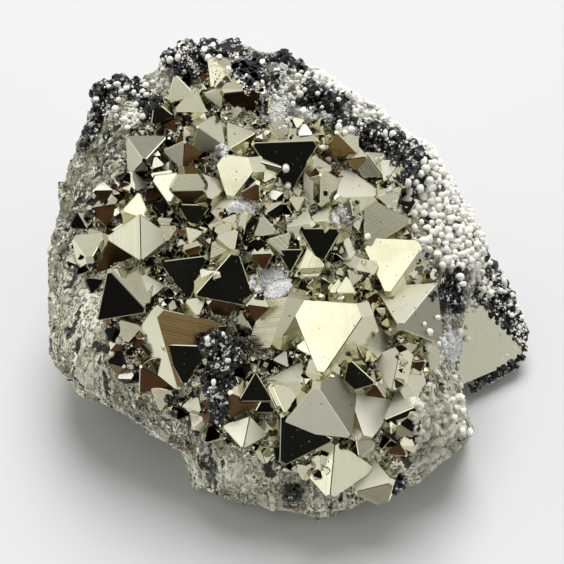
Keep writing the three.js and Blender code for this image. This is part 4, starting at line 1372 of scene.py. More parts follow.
@dataclass(frozen=True)
class BlackSphalerite(Finish):
    """Black sphalerite: glossy grains that glint, with dull hollows and a pale dust."""

    name: str = "black sphalerite"
    black: Trio = (0.004, 0.004, 0.005)
    dusty: Trio = (0.022, 0.022, 0.022)
    glint: Trio = (0.46, 0.46, 0.44)
    dust: Trio = (0.70, 0.70, 0.67)

    def dress(self, nodes: FinishTree) -> None:
        """Black gloss broken up by facets and grain.

        Args:
            nodes: The material's nodes.
        """
        facets = nodes.facets(1900.0, 1.2)
        grain = nodes.grain(1700.0, 6.0)
        dust = nodes.pits(2500.0, 0.36, 0.12)
        glints = nodes.maths("GREATER_THAN", facets["Tone"], 0.67)
        colour = nodes.mix(nodes.ramp(grain, 0.5, 0.75), self.black, self.dusty)
        colour = nodes.mix(glints, colour, self.glint)
        colour = nodes.mix(dust, colour, self.dust)
        nodes.shader["Base Color"] = colour
        nodes.shader["Metallic"] = glints
        nodes.bump(grain, 0.7, 0.0002, Normal=facets["Normal"])
        nodes.shader["Roughness"] = nodes.ramp(grain, 0.35, 0.7, (0.08, 0.5))
        nodes.shader["IOR"] = 1.5


@dataclass(frozen=True)
class WhiteDolomite(Finish):
    """White dolomite: matt, with grey patches and fine grain."""

    name: str = "white dolomite"
    white: Trio = (0.97, 0.955, 0.88)
    grey: Trio = (0.62, 0.60, 0.53)
    patch_scale: float = 700.0
    patch_detail: float = 3.0
    patch_edge: Duo = (0.54, 0.74)
    grain_scale: float = 4000.0
    roughness: float = 0.55
    clear: float = 0.0

    def dress(self, nodes: FinishTree) -> None:
        """White that turns grey in patches.

        Args:
            nodes: The material's nodes.
        """
        patches = nodes.ramp(nodes.grain(self.patch_scale, self.patch_detail), *self.patch_edge)
        nodes.shader["Base Color"] = nodes.mix(patches, self.white, self.grey)
        nodes.shader["Roughness"] = self.roughness
        nodes.shader["Transmission Weight"] = self.clear
        nodes.bump(nodes.grain(self.grain_scale, 3.0), 0.5, 0.0001)


@dataclass(frozen=True)
class GreyCrust(WhiteDolomite):
    """The milky grey grains between the lumps, with a wet gloss."""

    name: str = "grey crust"
    white: Trio = (0.84, 0.84, 0.79)
    grey: Trio = (0.19, 0.19, 0.175)
    patch_scale: float = 520.0
    patch_detail: float = 4.0
    patch_edge: Duo = (0.42, 0.6)
    grain_scale: float = 3000.0
    roughness: float = 0.25


@dataclass(frozen=True)
class MilkyQuartz(Finish):
    """Quartz needles: clear, with a milky veil."""

    name: str = "milky quartz"

    def dress(self, nodes: FinishTree) -> None:
        """Plain see-through quartz with a lightly frosted surface.

        Args:
            nodes: The material's nodes.
        """
        veil = nodes.grain(900.0, 3.0)
        nodes.shader["Roughness"] = nodes.ramp(veil, 0.35, 0.7, (0.15, 0.4))
        nodes.shader["Base Color"] = nodes.mix(veil, (1.0, 1.0, 1.0), (0.94, 0.94, 0.94))
        nodes.shader["IOR"] = 1.544
        nodes.shader["Transmission Weight"] = 0.3


@dataclass(frozen=True)
class PaleFloor(Finish):
    """A plain pale floor."""

    name: str = "pale floor"

    def dress(self, nodes: FinishTree) -> None:
        """Matt and almost white.

        Args:
            nodes: The material's nodes.
        """
        nodes.shader["Base Color"] = (0.72, 0.72, 0.73, 1.0)
        nodes.shader["Roughness"] = 0.9
        nodes.shader["Specular IOR Level"] = 0.0


# The part of the picture that crystals cover, and places where the block is smooth or dark: pixels and
# a reach in pixels.
CRYSTAL_FIELD = (
    (128, 135), (160, 104), (180, 78), (206, 60), (228, 76), (262, 92), (300, 122), (332, 128),
    (352, 160), (400, 165), (405, 190), (412, 240), (425, 270), (440, 290), (445, 330), (425, 350),
    (425, 390), (412, 440), (392, 465), (350, 485), (280, 468), (240, 448), (200, 428), (150, 392),
    (122, 378), (112, 340), (108, 300), (72, 262), (72, 235), (90, 202), (125, 180),
)

SMOOTH_LUMPS = (
    (90, 318, 30), (94, 374, 18), (100, 300, 18), (330, 470, 20), (440, 425, 16), (238, 470, 20),
    (206, 452, 12),
)
# Spots where the block's colour is darker.
DARKER_SPOTS = (
    (104, 150, 38), (84, 200, 36), (74, 250, 18), (130, 395, 16), (160, 420, 16), (200, 440, 14),
)


def inside(x: Array, y: Array, outline: tuple) -> Array:
    """Tell which pixels lie inside an outline.

    Args:
        x: Pixels across.
        y: Pixels down.
        outline: The outline's corners.

    Returns:
        True for those inside.
    """
    hit = np.zeros(np.shape(x), bool)
    for (x1, y1), (x2, y2) in zip(outline, outline[1:] + outline[:1]):
        if y1 != y2:
            crosses = ((y1 > y) != (y2 > y)) & (x < (x2 - x1) * (y - y1) / (y2 - y1) + x1)
            hit ^= crosses
    return hit


def scattered(shares: Array, outline: tuple) -> Array:
    """Spread shares, from 0 to 1 each way, over the box round an outline of pixels."""
    low, high = np.min(outline, axis=0), np.max(outline, axis=0)
    return low + shares * (high - low)


@dataclass
class RoughBlock:
    """The block of massive pyrite, broken and granular, with a flat base."""

    shop: Workshop
    material: Material
    cuts: int = 124
    coarse_cells: int = 420
    fine_cells: int = 5200
    coarse_slope: float = 0.36
    fine_slope: float = 0.8
    layering: float = 35.0
    ring_radius: float = 20.0
    lump_rise: float = 0.9
    sunk_under_crystals: float = 0.5
    coarse_height: float = 0.5
    fine_height: float = 0.6
    lowered: float = 0.35
    smoothing: float = 0.9
    calmest: float = 0.45

    def build(self) -> None:
        """Make the block."""
        directions, faces = self.even_ball()
        turn = np.arctan2(directions[:, 1], directions[:, 0])
        tip = np.arccos(np.clip(directions[:, 2], -1.0, 1.0))
        skin = SKIN.point(turn, tip, np.zeros(len(turn)))
        random = np.random.default_rng(11)
        ring = self.ring_radius * np.sqrt(np.sin(tip))
        layers = np.stack([ring * np.cos(turn), ring * np.sin(turn), self.layering * tip], axis=1)
        coarse = self.broken(skin, layers, self.coarse_cells, self.coarse_slope, random)
        fine = self.broken(skin, layers, self.fine_cells, self.fine_slope, random)
        pixels = VIEW.pixels(skin)
        roughness, lumps, darker_spot = np.ones(len(skin)), np.zeros(len(skin)), np.zeros(len(skin))
        for x, y, reach in SMOOTH_LUMPS:
            lump = np.exp(-((np.hypot(*(pixels - (x, y)).T) / reach) ** 4)) * (tip < 0.6 * math.pi)
            roughness *= 1.0 - self.smoothing * lump
            lumps = np.maximum(lumps, lump)
        for x, y, reach in DARKER_SPOTS:
            spot = np.exp(-((np.hypot(*(pixels - (x, y)).T) / reach) ** 2)) * (tip < 0.7 * math.pi)
            darker_spot = np.maximum(darker_spot, spot)
        wildness = smoothstep(-0.3, 0.4, noise_at(skin, 0.16))
        calm = roughness * (self.calmest + (1.0 - self.calmest) * wildness)
        under = inside(pixels[:, 0], pixels[:, 1], CRYSTAL_FIELD) & (tip < 0.45 * math.pi)
        height = self.coarse_height * coarse + self.fine_height * calm * fine - self.lowered
        height -= self.sunk_under_crystals * under
        height += self.lump_rise * lumps
        vertices = skin + SKIN.outward(skin) * height[:, None]
        shape, nodes = (vertices, faces), ("pyrite_mass",)
        piece = self.shop.make("pyrite_block", *shape, self.material, "pyrite", nodes, carries=True)
        for label, values in (("rough_grain", roughness), ("layer", tip), ("darker_spot", darker_spot)):
            self.shop.store(piece, label, "POINT", values)

    def even_ball(self) -> Mesh:
        """A unit ball of even squares.

        Returns:
            Its vertices and faces.
        """
        shape = bmesh.new()
        bmesh.ops.create_cube(shape, size=2.0)
        bmesh.ops.subdivide_edges(shape, edges=shape.edges[:], cuts=self.cuts, use_grid_fill=True)
        cube = np.array([vertex.co[:] for vertex in shape.verts])
        faces = [[vertex.index for vertex in face.verts] for face in shape.faces]
        shape.free()
        return unit(np.tan(cube * math.pi / 4.0)), faces

    def broken(
        self, skin: Array, layers: Array, cells: int, slope: float, random: Chance
    ) -> Array:
        """Heights of a surface broken into tilted flats, which run long round the block.

        Args:
            skin: Points of the skin.
            layers: The same points with the way round the block shortened.
            cells: How many flats.
            slope: How steeply they tilt.
            random: Where chance comes from.

        Returns:
            One height for each point.
        """
        chosen = random.choice(len(skin), cells, replace=False)
        seeds = skin[chosen]
        tilts = unit(random.normal(size=(cells, 3))) * slope * random.uniform(0.4, 1.0, (cells, 1))
        lifts = random.uniform(-0.2, 0.2, cells)
        tree = kdtree.KDTree(cells)
        for number, seed in enumerate(layers[chosen].tolist()):
            tree.insert(seed, number)
        tree.balance()
        near = np.array([[hit[1] for hit in tree.find_n(point, 3)] for point in layers.tolist()])
        flats = ((skin[:, None] - seeds[near]) * tilts[near]).sum(axis=-1) + lifts[near]
        return flats.max(axis=1)


def clearance(spots: Array, faces: list[Array]) -> Array:
    """Distance of pixels from the nearest of some seen faces, below 0 inside it.

    Args:
        spots: The pixels.
        faces: The faces, each as its three corners in pixels.

    Returns:
        One distance for each pixel.
    """
    nearest = np.full(len(spots), np.inf)
    for corners in faces:
        run = np.roll(corners, -1, axis=0) - corners
        hand = np.sign(run[0, 0] * run[1, 1] - run[0, 1] * run[1, 0])
        normals = np.stack([run[:, 1], -run[:, 0]], axis=1) * hand
        off = ((spots[:, None] - corners) * unit(normals)).sum(axis=-1).max(axis=1)
        nearest = np.minimum(nearest, off)
    return nearest


@dataclass
class Settling:
    """Moves and trims crystals until none hides a face that the photograph shows.

    Every seen face is sampled by rays from the eye. Where another crystal or the block lies in
    front of it, the two part by a share of the overlap. Corners that still hide something are cut.
    """

    crystals: list[Crystal]
    rises: list[float]
    rounds: int = 60
    stiffness: float = 0.2
    keeping: float = 0.985
    gap: float = 0.05
    above_ground: float = 0.3
    furthest_step: float = 2.0
    reach: Duo = (-2.5, 2.0)
    least: float = 0.08
    deepest_cut: float = 0.66
    covered: float = -3.0
    cutting_rounds: int = 6

    def __post_init__(self) -> None:
        """Lay the rays through the seen faces."""
        steps = np.linspace(0.08, 0.84, 6)
        shares = np.array([(a, b, 1 - a - b) for a in steps for b in steps if a + b < 0.93])
        faces = [(n, face) for n, crystal in enumerate(self.crystals) for face in crystal.seen_faces]
        self.owner = np.repeat([n for n, _ in faces], len(shares))
        pixels = np.concatenate([shares @ face for _, face in faces])
        x, y = pixels.T
        self.rays = unit(VIEW.place(*VIEW.picture(x, y, BEHIND), BEHIND) - VIEW.eye)
        for n, crystal in enumerate(self.crystals):
            others = [face for m, face in faces if self.rises[m] > self.rises[n]]
            if others:
                corners = VIEW.pixels(both_ways(crystal.arms) + crystal.centre)
                covered = clearance(corners, others) < self.covered
                crystal.seen_corners = tuple(k for k in crystal.seen_corners if not covered[k])
        own = [clearance(pixels, crystal.seen_faces) < 0.5 for crystal in self.crystals]
        self.free = ~np.array(own).T
        w = SKIN.on_front(x, y) - RoughBlock.sunk_under_crystals
        self.ground = np.linalg.norm(VIEW.place(*VIEW.picture(x, y, w), w) - VIEW.eye, axis=1)

    def meet(self) -> tuple[Array, Array]:
        """Find where the rays enter the crystals.

        Returns:
            Distances along the rays, infinite where a ray misses, and whether each was met.
        """
        centres, arms, trims = gathered(self.crystals)
        signs = np.array([(a, b, c) for a in (-1, 1) for b in (-1, 1) for c in (-1, 1)])
        scaled = arms / (arms**2).sum(axis=-1, keepdims=True)
        normals = np.concatenate([signs @ scaled, both_ways(scaled)], axis=1)
        offsets = np.concatenate([np.ones((len(arms), 8)), 1.0 - trims], axis=1)
        run = np.einsum("rk,nfk->rnf", self.rays, normals)
        room = offsets - np.einsum("nk,nfk->nf", VIEW.eye - centres, normals)
        along = room / np.where(np.abs(run) < 1e-9, 1e-9, run)
        entry = np.where(run < 0, along, -np.inf).max(axis=2)
        leave = np.where(run > 0, along, np.inf).min(axis=2)
        return entry, entry < leave

    def run(self) -> None:
        """Settle the crystals, cut what still hides a seen face, and blunt what stands out."""
        entry, met = self.meet()
        rows = np.arange(len(self.owner))
        rival = met & self.free
        shift = np.zeros(len(self.crystals))
        for _ in range(self.rounds):
            distance = entry - shift
            mine = distance[rows, self.owner]
            over = np.clip(mine[:, None] - distance + self.gap, 0.0, self.furthest_step)
            over = np.where(rival, over, 0.0)
            sunk = np.clip(mine - self.ground + self.above_ground, 0.0, self.furthest_step)
            raised = np.zeros(len(self.crystals))
            np.maximum.at(raised, self.owner, over.max(axis=1))
            np.maximum.at(raised, self.owner, sunk)
            pull = raised - over.max(axis=0)
            shift = np.clip(self.keeping * shift + self.stiffness * pull, *self.reach)
        for crystal, amount in zip(self.crystals, shift):
            crystal.centre = crystal.centre + amount * unit(VIEW.eye - crystal.centre)
        for _ in range(self.cutting_rounds):
            self.cut()
        for crystal in self.crystals:
            crystal.blunt_outside()

    def cut(self) -> None:
        """Cut the corners that hide a seen face back to just below the ray that they hide."""
        entry, met = self.meet()
        mine = entry[np.arange(len(self.owner)), self.owner]
        hiding = met & self.free & (mine[:, None] - entry > self.least)
        log.info("%.1f%% of the seen faces' samples are hidden", 100 * hiding.any(axis=1).mean())
        for n, crystal in enumerate(self.crystals):
            rows = np.nonzero(hiding[:, n])[0]
            if not len(rows):
                continue
            places = VIEW.eye + self.rays[rows] * entry[rows, n, None]
            scaled = crystal.arms / (crystal.arms**2).sum(axis=-1, keepdims=True)
            local = (places - crystal.centre) @ scaled.T
            heights = np.stack([local, -local], axis=2).reshape(-1, 6)
            heights[:, crystal.seen_corners] = -1.0
            corner = heights.argmax(axis=1)
            height = heights.max(axis=1)
            for k in set(corner[height > 1.0 - self.deepest_cut].tolist()):
                lowest = height[(corner == k) & (height > 1.0 - self.deepest_cut)].min()
                crystal.trims[k] = max(crystal.trims[k], min(self.deepest_cut, 1.05 - lowest))


@dataclass
class CrystalCluster:
    """The pyrite crystals: those read from the photograph, those strewn between, and the corner one."""

    shop: Workshop
    material: Material
    bevel: float = 0.085
    small_bevel: float = 0.045
    small_tries: int = 30000
    small_radius: Duo = (0.36, 2.2)
    least_on_crystals: float = 0.62
    step_tries: int = 9
    step_scale: Duo = (0.5, 0.95)
    step_drop: Duo = (0.15, 0.9)
    step_shift: Duo = (0.25, 0.75)
    step_room: float = 0.5
    dark_step_scale: float = 0.6
    chips: Duo = (0.0, 0.1)
    # Shares of the small crystals' painted reflections, more on the left of the picture and fewer on the
    # right.
    painted_reflection_from: tuple[float, ...] = (150.0, 220.0, 260.0, 330.0)
    painted_reflection_shares: tuple[float, ...] = (1.7, 1.2, 0.7, 0.3)
    strong_lines: Duo = (0.2, 0.6)
    small_trims: Duo = (0.02, 0.26)
    step_trims: Duo = (0.02, 0.2)
    least_room: float = 0.7
    small_sunk: float = 0.25
    faint_lines: float = 0.02
    lined_share: float = 0.3
    spacing: float = 0.52

    def __post_init__(self) -> None:
        """Work out the crystals that the photograph shows."""
        reader = CrystalReader()
        ways = {Face: reader.from_face, Pair: reader.from_pair}
        self.read = [ways[type(item)](item) for item in CRYSTALS]
        chance = np.random.default_rng(5)
        for crystal in self.read:
            crystal.trims += chance.uniform(*self.chips, 6)
        self.corner = reader.from_face(CORNER_FACE, CORNER_DEPTH)
        self.corner.trims[:] = CORNER_TRIM
        self.corner.tint = 1.0
        self.random = np.random.default_rng(23)

    def build(self) -> None:
        """Make the crystals that were read and the corner crystal."""
        Settling(self.read, [item.rise for item in CRYSTALS]).run()
        vertices, faces = self.shapes(self.read, self.bevel)
        tree = BVHTree.FromPolygons(vertices.tolist(), faces)
        for crystal in self.read:
            crystal.look_round(tree)
        self.make("pyrite_crystals", self.read, self.bevel, True)
        self.make("corner_crystal", [self.corner], self.bevel, True)

    def strew(self) -> None:
        """Fill the room between the crystals with small ones."""
        shares = self.random.uniform(size=(self.small_tries, 4))
        spots = scattered(shares[:, :2], CRYSTAL_FIELD)
        spots = spots[inside(spots[:, 0], spots[:, 1], CRYSTAL_FIELD)]
        sizes = np.interp(shares[: len(spots), 2] ** 3, (0.0, 1.0), self.small_radius)
        order = np.argsort(-sizes)
        spots, sizes = spots[order], sizes[order]
        room = clearance(spots, [face for crystal in self.read for face in crystal.seen_faces])
        taken, found = np.empty((0, 3)), self.steps()
        for spot, size, space in zip(spots, sizes, room):
            reach = size / VIEW.pixel
            if space < self.least_room * reach:
                continue
            gaps = np.hypot(*(taken[:, :2] - spot).T) - self.spacing * (taken[:, 2] + reach)
            if len(taken) and gaps.min() < 0:
                continue
            hit = self.shop.under(*spot)
            if hit is None or (hit[2] > 0 and size < self.least_on_crystals):
                continue
            taken = np.vstack([taken, [*spot, reach]])
            turned, _ = np.linalg.qr(self.random.normal(size=(3, 3)))
            centre = hit[0] - VIEW.axes_at(hit[0])[2] * self.small_sunk * size
            found.append(Crystal(centre, turned * size, self.random.uniform(*self.small_trims, 6)))
        self.make("small_crystals", found, self.small_bevel, False)

    def steps(self) -> list[Crystal]:
        """Crystals that grew parallel to the ones that were read, a step lower beside them.

        Returns:
            The crystals, none of which hides a face that the photograph shows.
        """
        found = []
        shares = np.array([(a, b, 4 - a - b) for a in range(5) for b in range(5 - a)]) / 4.0
        for n, parent in enumerate(self.read):
            others = [face for m, crystal in enumerate(self.read) if m != n for face in crystal.seen_faces]
            others += parent.seen_faces[1:]
            normal = unit(parent.arms.sum(axis=0))
            radius = np.linalg.norm(parent.arms[0])
            dark = parent.tones[0] in (Tone.BROWN, Tone.BLACK)
            for _ in range(self.step_tries):
                along = unit(np.cross(normal, self.random.normal(size=3)))
                scale = self.random.uniform(*self.step_scale) * (self.dark_step_scale if dark else 1.0)
                drop = (1.0 - scale) * radius / math.sqrt(3.0) + self.random.uniform(*self.step_drop)
                aside = along * radius * self.random.uniform(*self.step_shift)
                centre = parent.centre + aside - normal * drop
                corners = VIEW.pixels(centre + parent.arms * scale)
                if clearance(shares @ corners, others).min() < self.step_room:
                    continue
                if not inside(corners[:, 0], corners[:, 1], CRYSTAL_FIELD).all():
                    continue
                step = Crystal(centre, parent.arms * scale, self.random.uniform(*self.step_trims, 6))
                step.tones, step.blocked = parent.tones, parent.blocked
                found.append(step)
        return found

    def make(self, name: str, crystals: list[Crystal], bevel: float, carries: bool) -> None:
        """Make one piece of many crystals and store their growth lines and painted reflections on their
        faces.

        Args:
            name: The piece's name.
            crystals: The crystals.
            bevel: Width of their bevels.
            carries: Whether later pieces may sit on them.
        """
        vertices, faces = self.shapes(crystals, bevel)
        nodes = ("pyrite_mass",)
        piece = self.shop.make(name, vertices, faces, self.material, "pyrite", nodes, carries=carries)
        centres, arms, _ = gathered(crystals)
        per_crystal = len(OCTAHEDRON.faces)
        growth = np.zeros((len(crystals), per_crystal, 3))
        lined = np.zeros((len(crystals), per_crystal))
        corners = both_ways(arms)
        for f, ring in enumerate(OCTAHEDRON.rings):
            first = self.random.integers(0, 3, len(crystals))
            ends = corners[:, ring][np.arange(len(crystals))[:, None], (first[:, None] + [0, 1, 2]) % 3]
            growth[:, f] = unit(ends[:, 0] - 0.5 * (ends[:, 1] + ends[:, 2]))
            strong = self.random.uniform(size=len(crystals)) < self.lined_share
            lines = self.random.uniform(*self.strong_lines, len(crystals)) ** 2
            lined[:, f] = np.where(strong, lines, self.faint_lines)
        for n, crystal in enumerate(crystals):
            if crystal.lines:
                growth[n, crystal.lined_face] = crystal.across_lines
                lined[n, crystal.lined_face] = crystal.lines
        lot = self.random.uniform(size=(len(crystals), per_crystal))
        plain = np.array([not crystal.tones and crystal.tint is None for crystal in crystals])
        # More painted reflections on small crystals to the left, fewer to the right.
        share = np.interp(VIEW.pixels(centres)[:, 0], self.painted_reflection_from, self.painted_reflection_shares)[:, None]
        low = 0.0
        for painted_kind in PAINTED_REFLECTIONS:
            painted_amounts = np.zeros((len(crystals), per_crystal))
            painted_amounts[:, :8] = [crystal.painted_reflections()[painted_kind] for crystal in crystals]
            if painted_kind in SMALL_PAINTED_REFLECTIONS:
                high = low + SMALL_PAINTED_REFLECTIONS[painted_kind] * share
                painted_amounts[plain] = ((lot >= low) & (lot < high))[plain]
                low = high
            self.shop.store(piece, painted_kind, "FACE", painted_amounts)
        tint = 0.8 * self.random.uniform(size=len(crystals))
        tint = np.array([t if crystal.tint is None else crystal.tint for t, crystal in zip(tint, crystals)])
        tint = np.repeat(tint[:, None], per_crystal, axis=1)
        self.shop.store(piece, "growth", "FACE", growth, "FLOAT_VECTOR")
        self.shop.store(piece, "lined", "FACE", lined)
        self.shop.store(piece, "tint", "FACE", tint)

    def shapes(self, crystals: list[Crystal], bevel: float) -> Mesh:
        """Shape crystals.

        Args:
            crystals: The crystals.
            bevel: Width of their bevels.

        Returns:
            Their vertices and faces.
        """
        vertices = OCTAHEDRON.vertices(*gathered(crystals), bevel)
        faces = [[48 * n + i for i in face] for n in range(len(crystals)) for face in OCTAHEDRON.faces]
        return vertices.reshape(-1, 3), faces


# Each patch's lumps: pixels across and down, and a radius in pixels.
SPHALERITE = {
    "top_left": (
        (104, 93, 14), (121, 86, 12), (137, 89, 12), (100, 112, 11), (92, 132, 10), (115, 101, 10),
        (130, 99, 9), (145, 99, 10), (156, 103, 8), (151, 113, 9), (143, 108, 9), (86, 146, 6),
        (97, 124, 9),
    ),
    "crown": (
        (171, 58, 11), (187, 55, 15), (210, 52, 14), (232, 54, 16), (250, 66, 15), (180, 70, 8),
        (195, 68, 9), (243, 72, 12), (259, 80, 12), (268, 92, 11), (272, 80, 9), (262, 100, 8),
        (236, 68, 8), (244, 81, 7), (253, 82, 8), (239, 76, 6), (245, 87, 5), (253, 88, 5),
        (261, 90, 5),
    ),
    "back_ridge": ((283, 60, 11), (298, 68, 10), (270, 62, 8), (304, 76, 7)),
    "upper_right": (
        (312, 92, 13), (330, 103, 13), (302, 104, 9), (318, 110, 9), (338, 114, 8), (346, 96, 7),
    ),
    "shoulder": (
        (354, 127, 12), (374, 133, 14), (394, 143, 15), (412, 153, 14), (404, 174, 13),
        (342, 121, 8), (364, 142, 9), (385, 153, 9), (399, 161, 11), (412, 170, 12), (411, 189, 9),
        (420, 180, 10), (424, 164, 10), (377, 145, 9),
    ),
    "right_knob": (
        (440, 298, 13), (452, 288, 11), (460, 283, 9), (461, 273, 8), (455, 298, 9), (458, 308, 7),
        (431, 296, 6),
    ),
    "front": (
        (213, 344, 14), (230, 349, 13), (221, 368, 14), (216, 388, 13), (219, 407, 10),
        (241, 345, 8), (205, 338, 7), (232, 362, 8), (208, 376, 8), (226, 381, 9), (217, 417, 7),
    ),
    "base_knob": ((292, 492, 11),),
    "foot_knob": ((396, 482, 12),),
    "corner_rim": (
        (468, 289, 6), (474, 295, 6), (480, 301, 6), (486, 307, 6), (492, 313, 6), (498, 319, 6),
        (504, 325, 6), (510, 331, 6), (516, 337, 6), (521, 343, 6), (470, 280, 7), (479, 287, 8),
        (487, 295, 8), (495, 303, 8), (503, 311, 8), (511, 319, 8), (518, 328, 7), (522, 338, 6),
        (480, 270, 9), (488, 279, 9), (496, 288, 9), (504, 297, 9), (511, 306, 8), (517, 316, 7),
        (521, 326, 7), (522, 333, 7), (488, 266, 8), (495, 275, 8), (502, 286, 8), (509, 296, 7),
        (523, 348, 6), (518, 358, 7), (511, 364, 8), (503, 369, 8), (495, 373, 8), (487, 378, 8),
        (479, 383, 7), (472, 387, 6),
    ),
}

# How many pixels the lumps of a patch stand out.
PATCH_RISES = {
    "front": 16.0, "crown": 11.0, "shoulder": 8.0, "top_left": 6.0, "upper_right": 7.0, "right_knob": 8.0,
}

DARK_GRAINS = (
    (110, 189, 6), (101, 193, 6), (95, 199, 5), (118, 194, 6), (104, 201, 5), (84, 218, 7),
    (92, 213, 5), (78, 225, 5), (96, 346, 6), (106, 349, 6), (117, 346, 5), (128, 379, 5),
    (124, 372, 4), (108, 136, 5), (112, 150, 5), (106, 160, 4), (66, 330, 4), (170, 400, 5),
    (176, 392, 4), (262, 456, 6), (270, 462, 5), (196, 432, 4), (418, 428, 4), (330, 508, 4),
    (424, 222, 6), (432, 229, 6), (430, 218, 5), (486, 258, 6), (493, 264, 7), (487, 269, 6),
    (463, 192, 5), (411, 214, 5), (452, 250, 4), (436, 270, 5), (428, 256, 5),
)


@dataclass
class SphaleriteLumps:
    """The black sphalerite: a run of uneven lumps for each patch."""

    shop: Workshop
    material: Material
    corner: Crystal
    sunk: float = 0.1
    levelling: float = 0.75
    swelling: float = 0.2
    grain_size: float = 1.5
    grain_depth: float = 0.42
    pit_size: float = 0.5
    pit_depth: float = 0.28
    speck_sunk: float = 0.55
    speck_unevenness: float = 0.3
    rim_sunk: float = 0.45
    rim_fall: float = 0.5

    def build(self) -> None:
        """Make every patch."""
        for name, spots in SPHALERITE.items():
            shape, nodes = self.patch(name, spots), ("sphalerite_" + name,)
            self.shop.make("black_lumps_" + name, *shape, self.material, "sphalerite", nodes, True, True)

    def specks(self) -> None:
        """Set the small dark grains of the left flank into whatever is there."""
        directions, faces = ball(3)
        parts = []
        for x, y, size in DARK_GRAINS:
            hit = self.shop.under(x, y)
            if hit is None:
                continue
            radius = size * VIEW.pixel
            centre = hit[0] - hit[1] * self.speck_sunk * radius
            skin = centre + directions * radius
            reach = radius * (1.0 + self.speck_unevenness * noise_at(skin, 1.1))
            parts.append((centre + directions * reach[:, None], faces))
        self.shop.make("dark_grains", *joined(parts), self.material, "sphalerite", (), True)

    def rim_depth(self, x: float, y: float, size: float) -> float:
        """Depth of a rim lump: it hugs the corner crystal's face and falls back away from it.

        Args:
            x: Pixels across.
            y: Pixels down.
            size: The lump's radius in pixels.

        Returns:
            How far towards the eye.
        """
        off = max(0.0, float(clearance(np.array([[x, y]], float), self.corner.seen_faces)[0]))
        sunk = self.rim_sunk * size + self.rim_fall * off
        return self.corner.face_depth((x, y)) - sunk * VIEW.pixel

    def patch(self, name: str, spots: tuple) -> Mesh:
        """Shape one patch.

        Args:
            name: The patch's name.
            spots: Its lumps, each with its middle and radius in pixels.

        Returns:
            Its vertices and faces.
        """
        rise = PATCH_RISES.get(name, 0.0)
        depths = [SKIN.on_front(x, y) + (rise - self.sunk * size) * VIEW.pixel for x, y, size in spots]
        level = sum(depths) / len(depths)
        directions, faces = ball(5 if len(spots) < 20 else 4)
        parts = []
        for (x, y, size), depth in zip(spots, depths):
            w = depth + (level - depth) * self.levelling
            hit = self.shop.under(x, y)
            if name == "corner_rim":
                w = self.rim_depth(x, y, size)
            elif hit is not None and name != "front":
                w = max(w, float((hit[0] - np.array(VIEW.aim)) @ VIEW.axes[2]) - 0.5 * size * VIEW.pixel)
            centre = VIEW.place(*VIEW.picture(x, y, w), w)
            radius = size * VIEW.pixel
            skin = centre + directions * radius
            swell = self.swelling * noise_at(skin, 1.2 / radius)
            grains = smoothstep(0.0, 0.4, borders_at(skin, 1.0 / self.grain_size))
            pits = smoothstep(0.15, 0.45, noise_at(skin, 1.0 / self.pit_size))
            reach = radius * (0.96 + swell) + self.grain_depth * (grains - 0.75) - self.pit_depth * pits
            parts.append((centre + directions * np.maximum(reach, 0.3 * radius)[:, None], faces))
        return joined(parts)


# Single beads that the photograph shows, in pixels.
BEADS = (
    (180, 45), (170, 59), (208, 56), (229, 68), (168, 70), (154, 83), (163, 80), (168, 84),
    (137, 104), (144, 116), (139, 122), (126, 120), (117, 117), (130, 115), (128, 128), (146, 96),
    (134, 93), (126, 87), (121, 92), (109, 86), (97, 98), (142, 91), (275, 97), (385, 134),
    (344, 133), (339, 129), (350, 130), (303, 112), (293, 106), (327, 160), (286, 168), (288, 186),
    (325, 148), (407, 183), (411, 192), (420, 194), (428, 167), (327, 265), (207, 339), (208, 345),
    (222, 335), (227, 361), (215, 382), (112, 353), (119, 341), (367, 237),
)


@dataclass(frozen=True)
class BeadPatch:
    """A part of the picture that is strewn with beads."""

    outline: tuple[Duo, ...]
    spacing: float
    share: float
    radius: Duo


BEAD_PATCHES = (
    BeadPatch(
        (
            (405, 200), (425, 160), (440, 165), (462, 200), (482, 232), (500, 262), (488, 300),
            (470, 290), (440, 262), (412, 232),
        ),
        6.4, 0.95, (2.9, 4.4),
    ),
    BeadPatch(
        (
            (228, 60), (262, 58), (300, 70), (345, 92), (380, 116), (352, 128), (300, 108),
            (262, 92),
        ),
        7.0, 0.62, (1.6, 3.6),
    ),
    BeadPatch(
        (
            (345, 120), (368, 100), (430, 134), (445, 165), (425, 178), (390, 150),
        ),
        9.0, 0.22, (1.8, 3.8),
    ),
    BeadPatch(
        (
            (484, 264), (502, 272), (516, 302), (522, 318), (512, 316), (497, 301), (478, 280),
        ),
        6.0, 0.75, (2.0, 3.4),
    ),
    BeadPatch(
        (
            (455, 372), (484, 392), (482, 430), (474, 448), (455, 420), (448, 392),
        ),
        7.0, 0.7, (2.4, 4.2),
    ),
    BeadPatch(
        (
            (165, 60), (178, 42), (205, 38), (250, 46), (262, 70), (235, 66), (200, 52),
        ),
        9.0, 0.35, (2.0, 3.6),
    ),
    BeadPatch(
        (
            (96, 85), (140, 78), (170, 62), (172, 88), (140, 126), (100, 120),
        ),
        9.0, 0.25, (1.8, 4.0),
    ),
    BeadPatch(
        (
            (415, 330), (450, 300), (470, 330), (455, 372), (432, 372),
        ),
        9.0, 0.5, (2.0, 3.6),
    ),
)


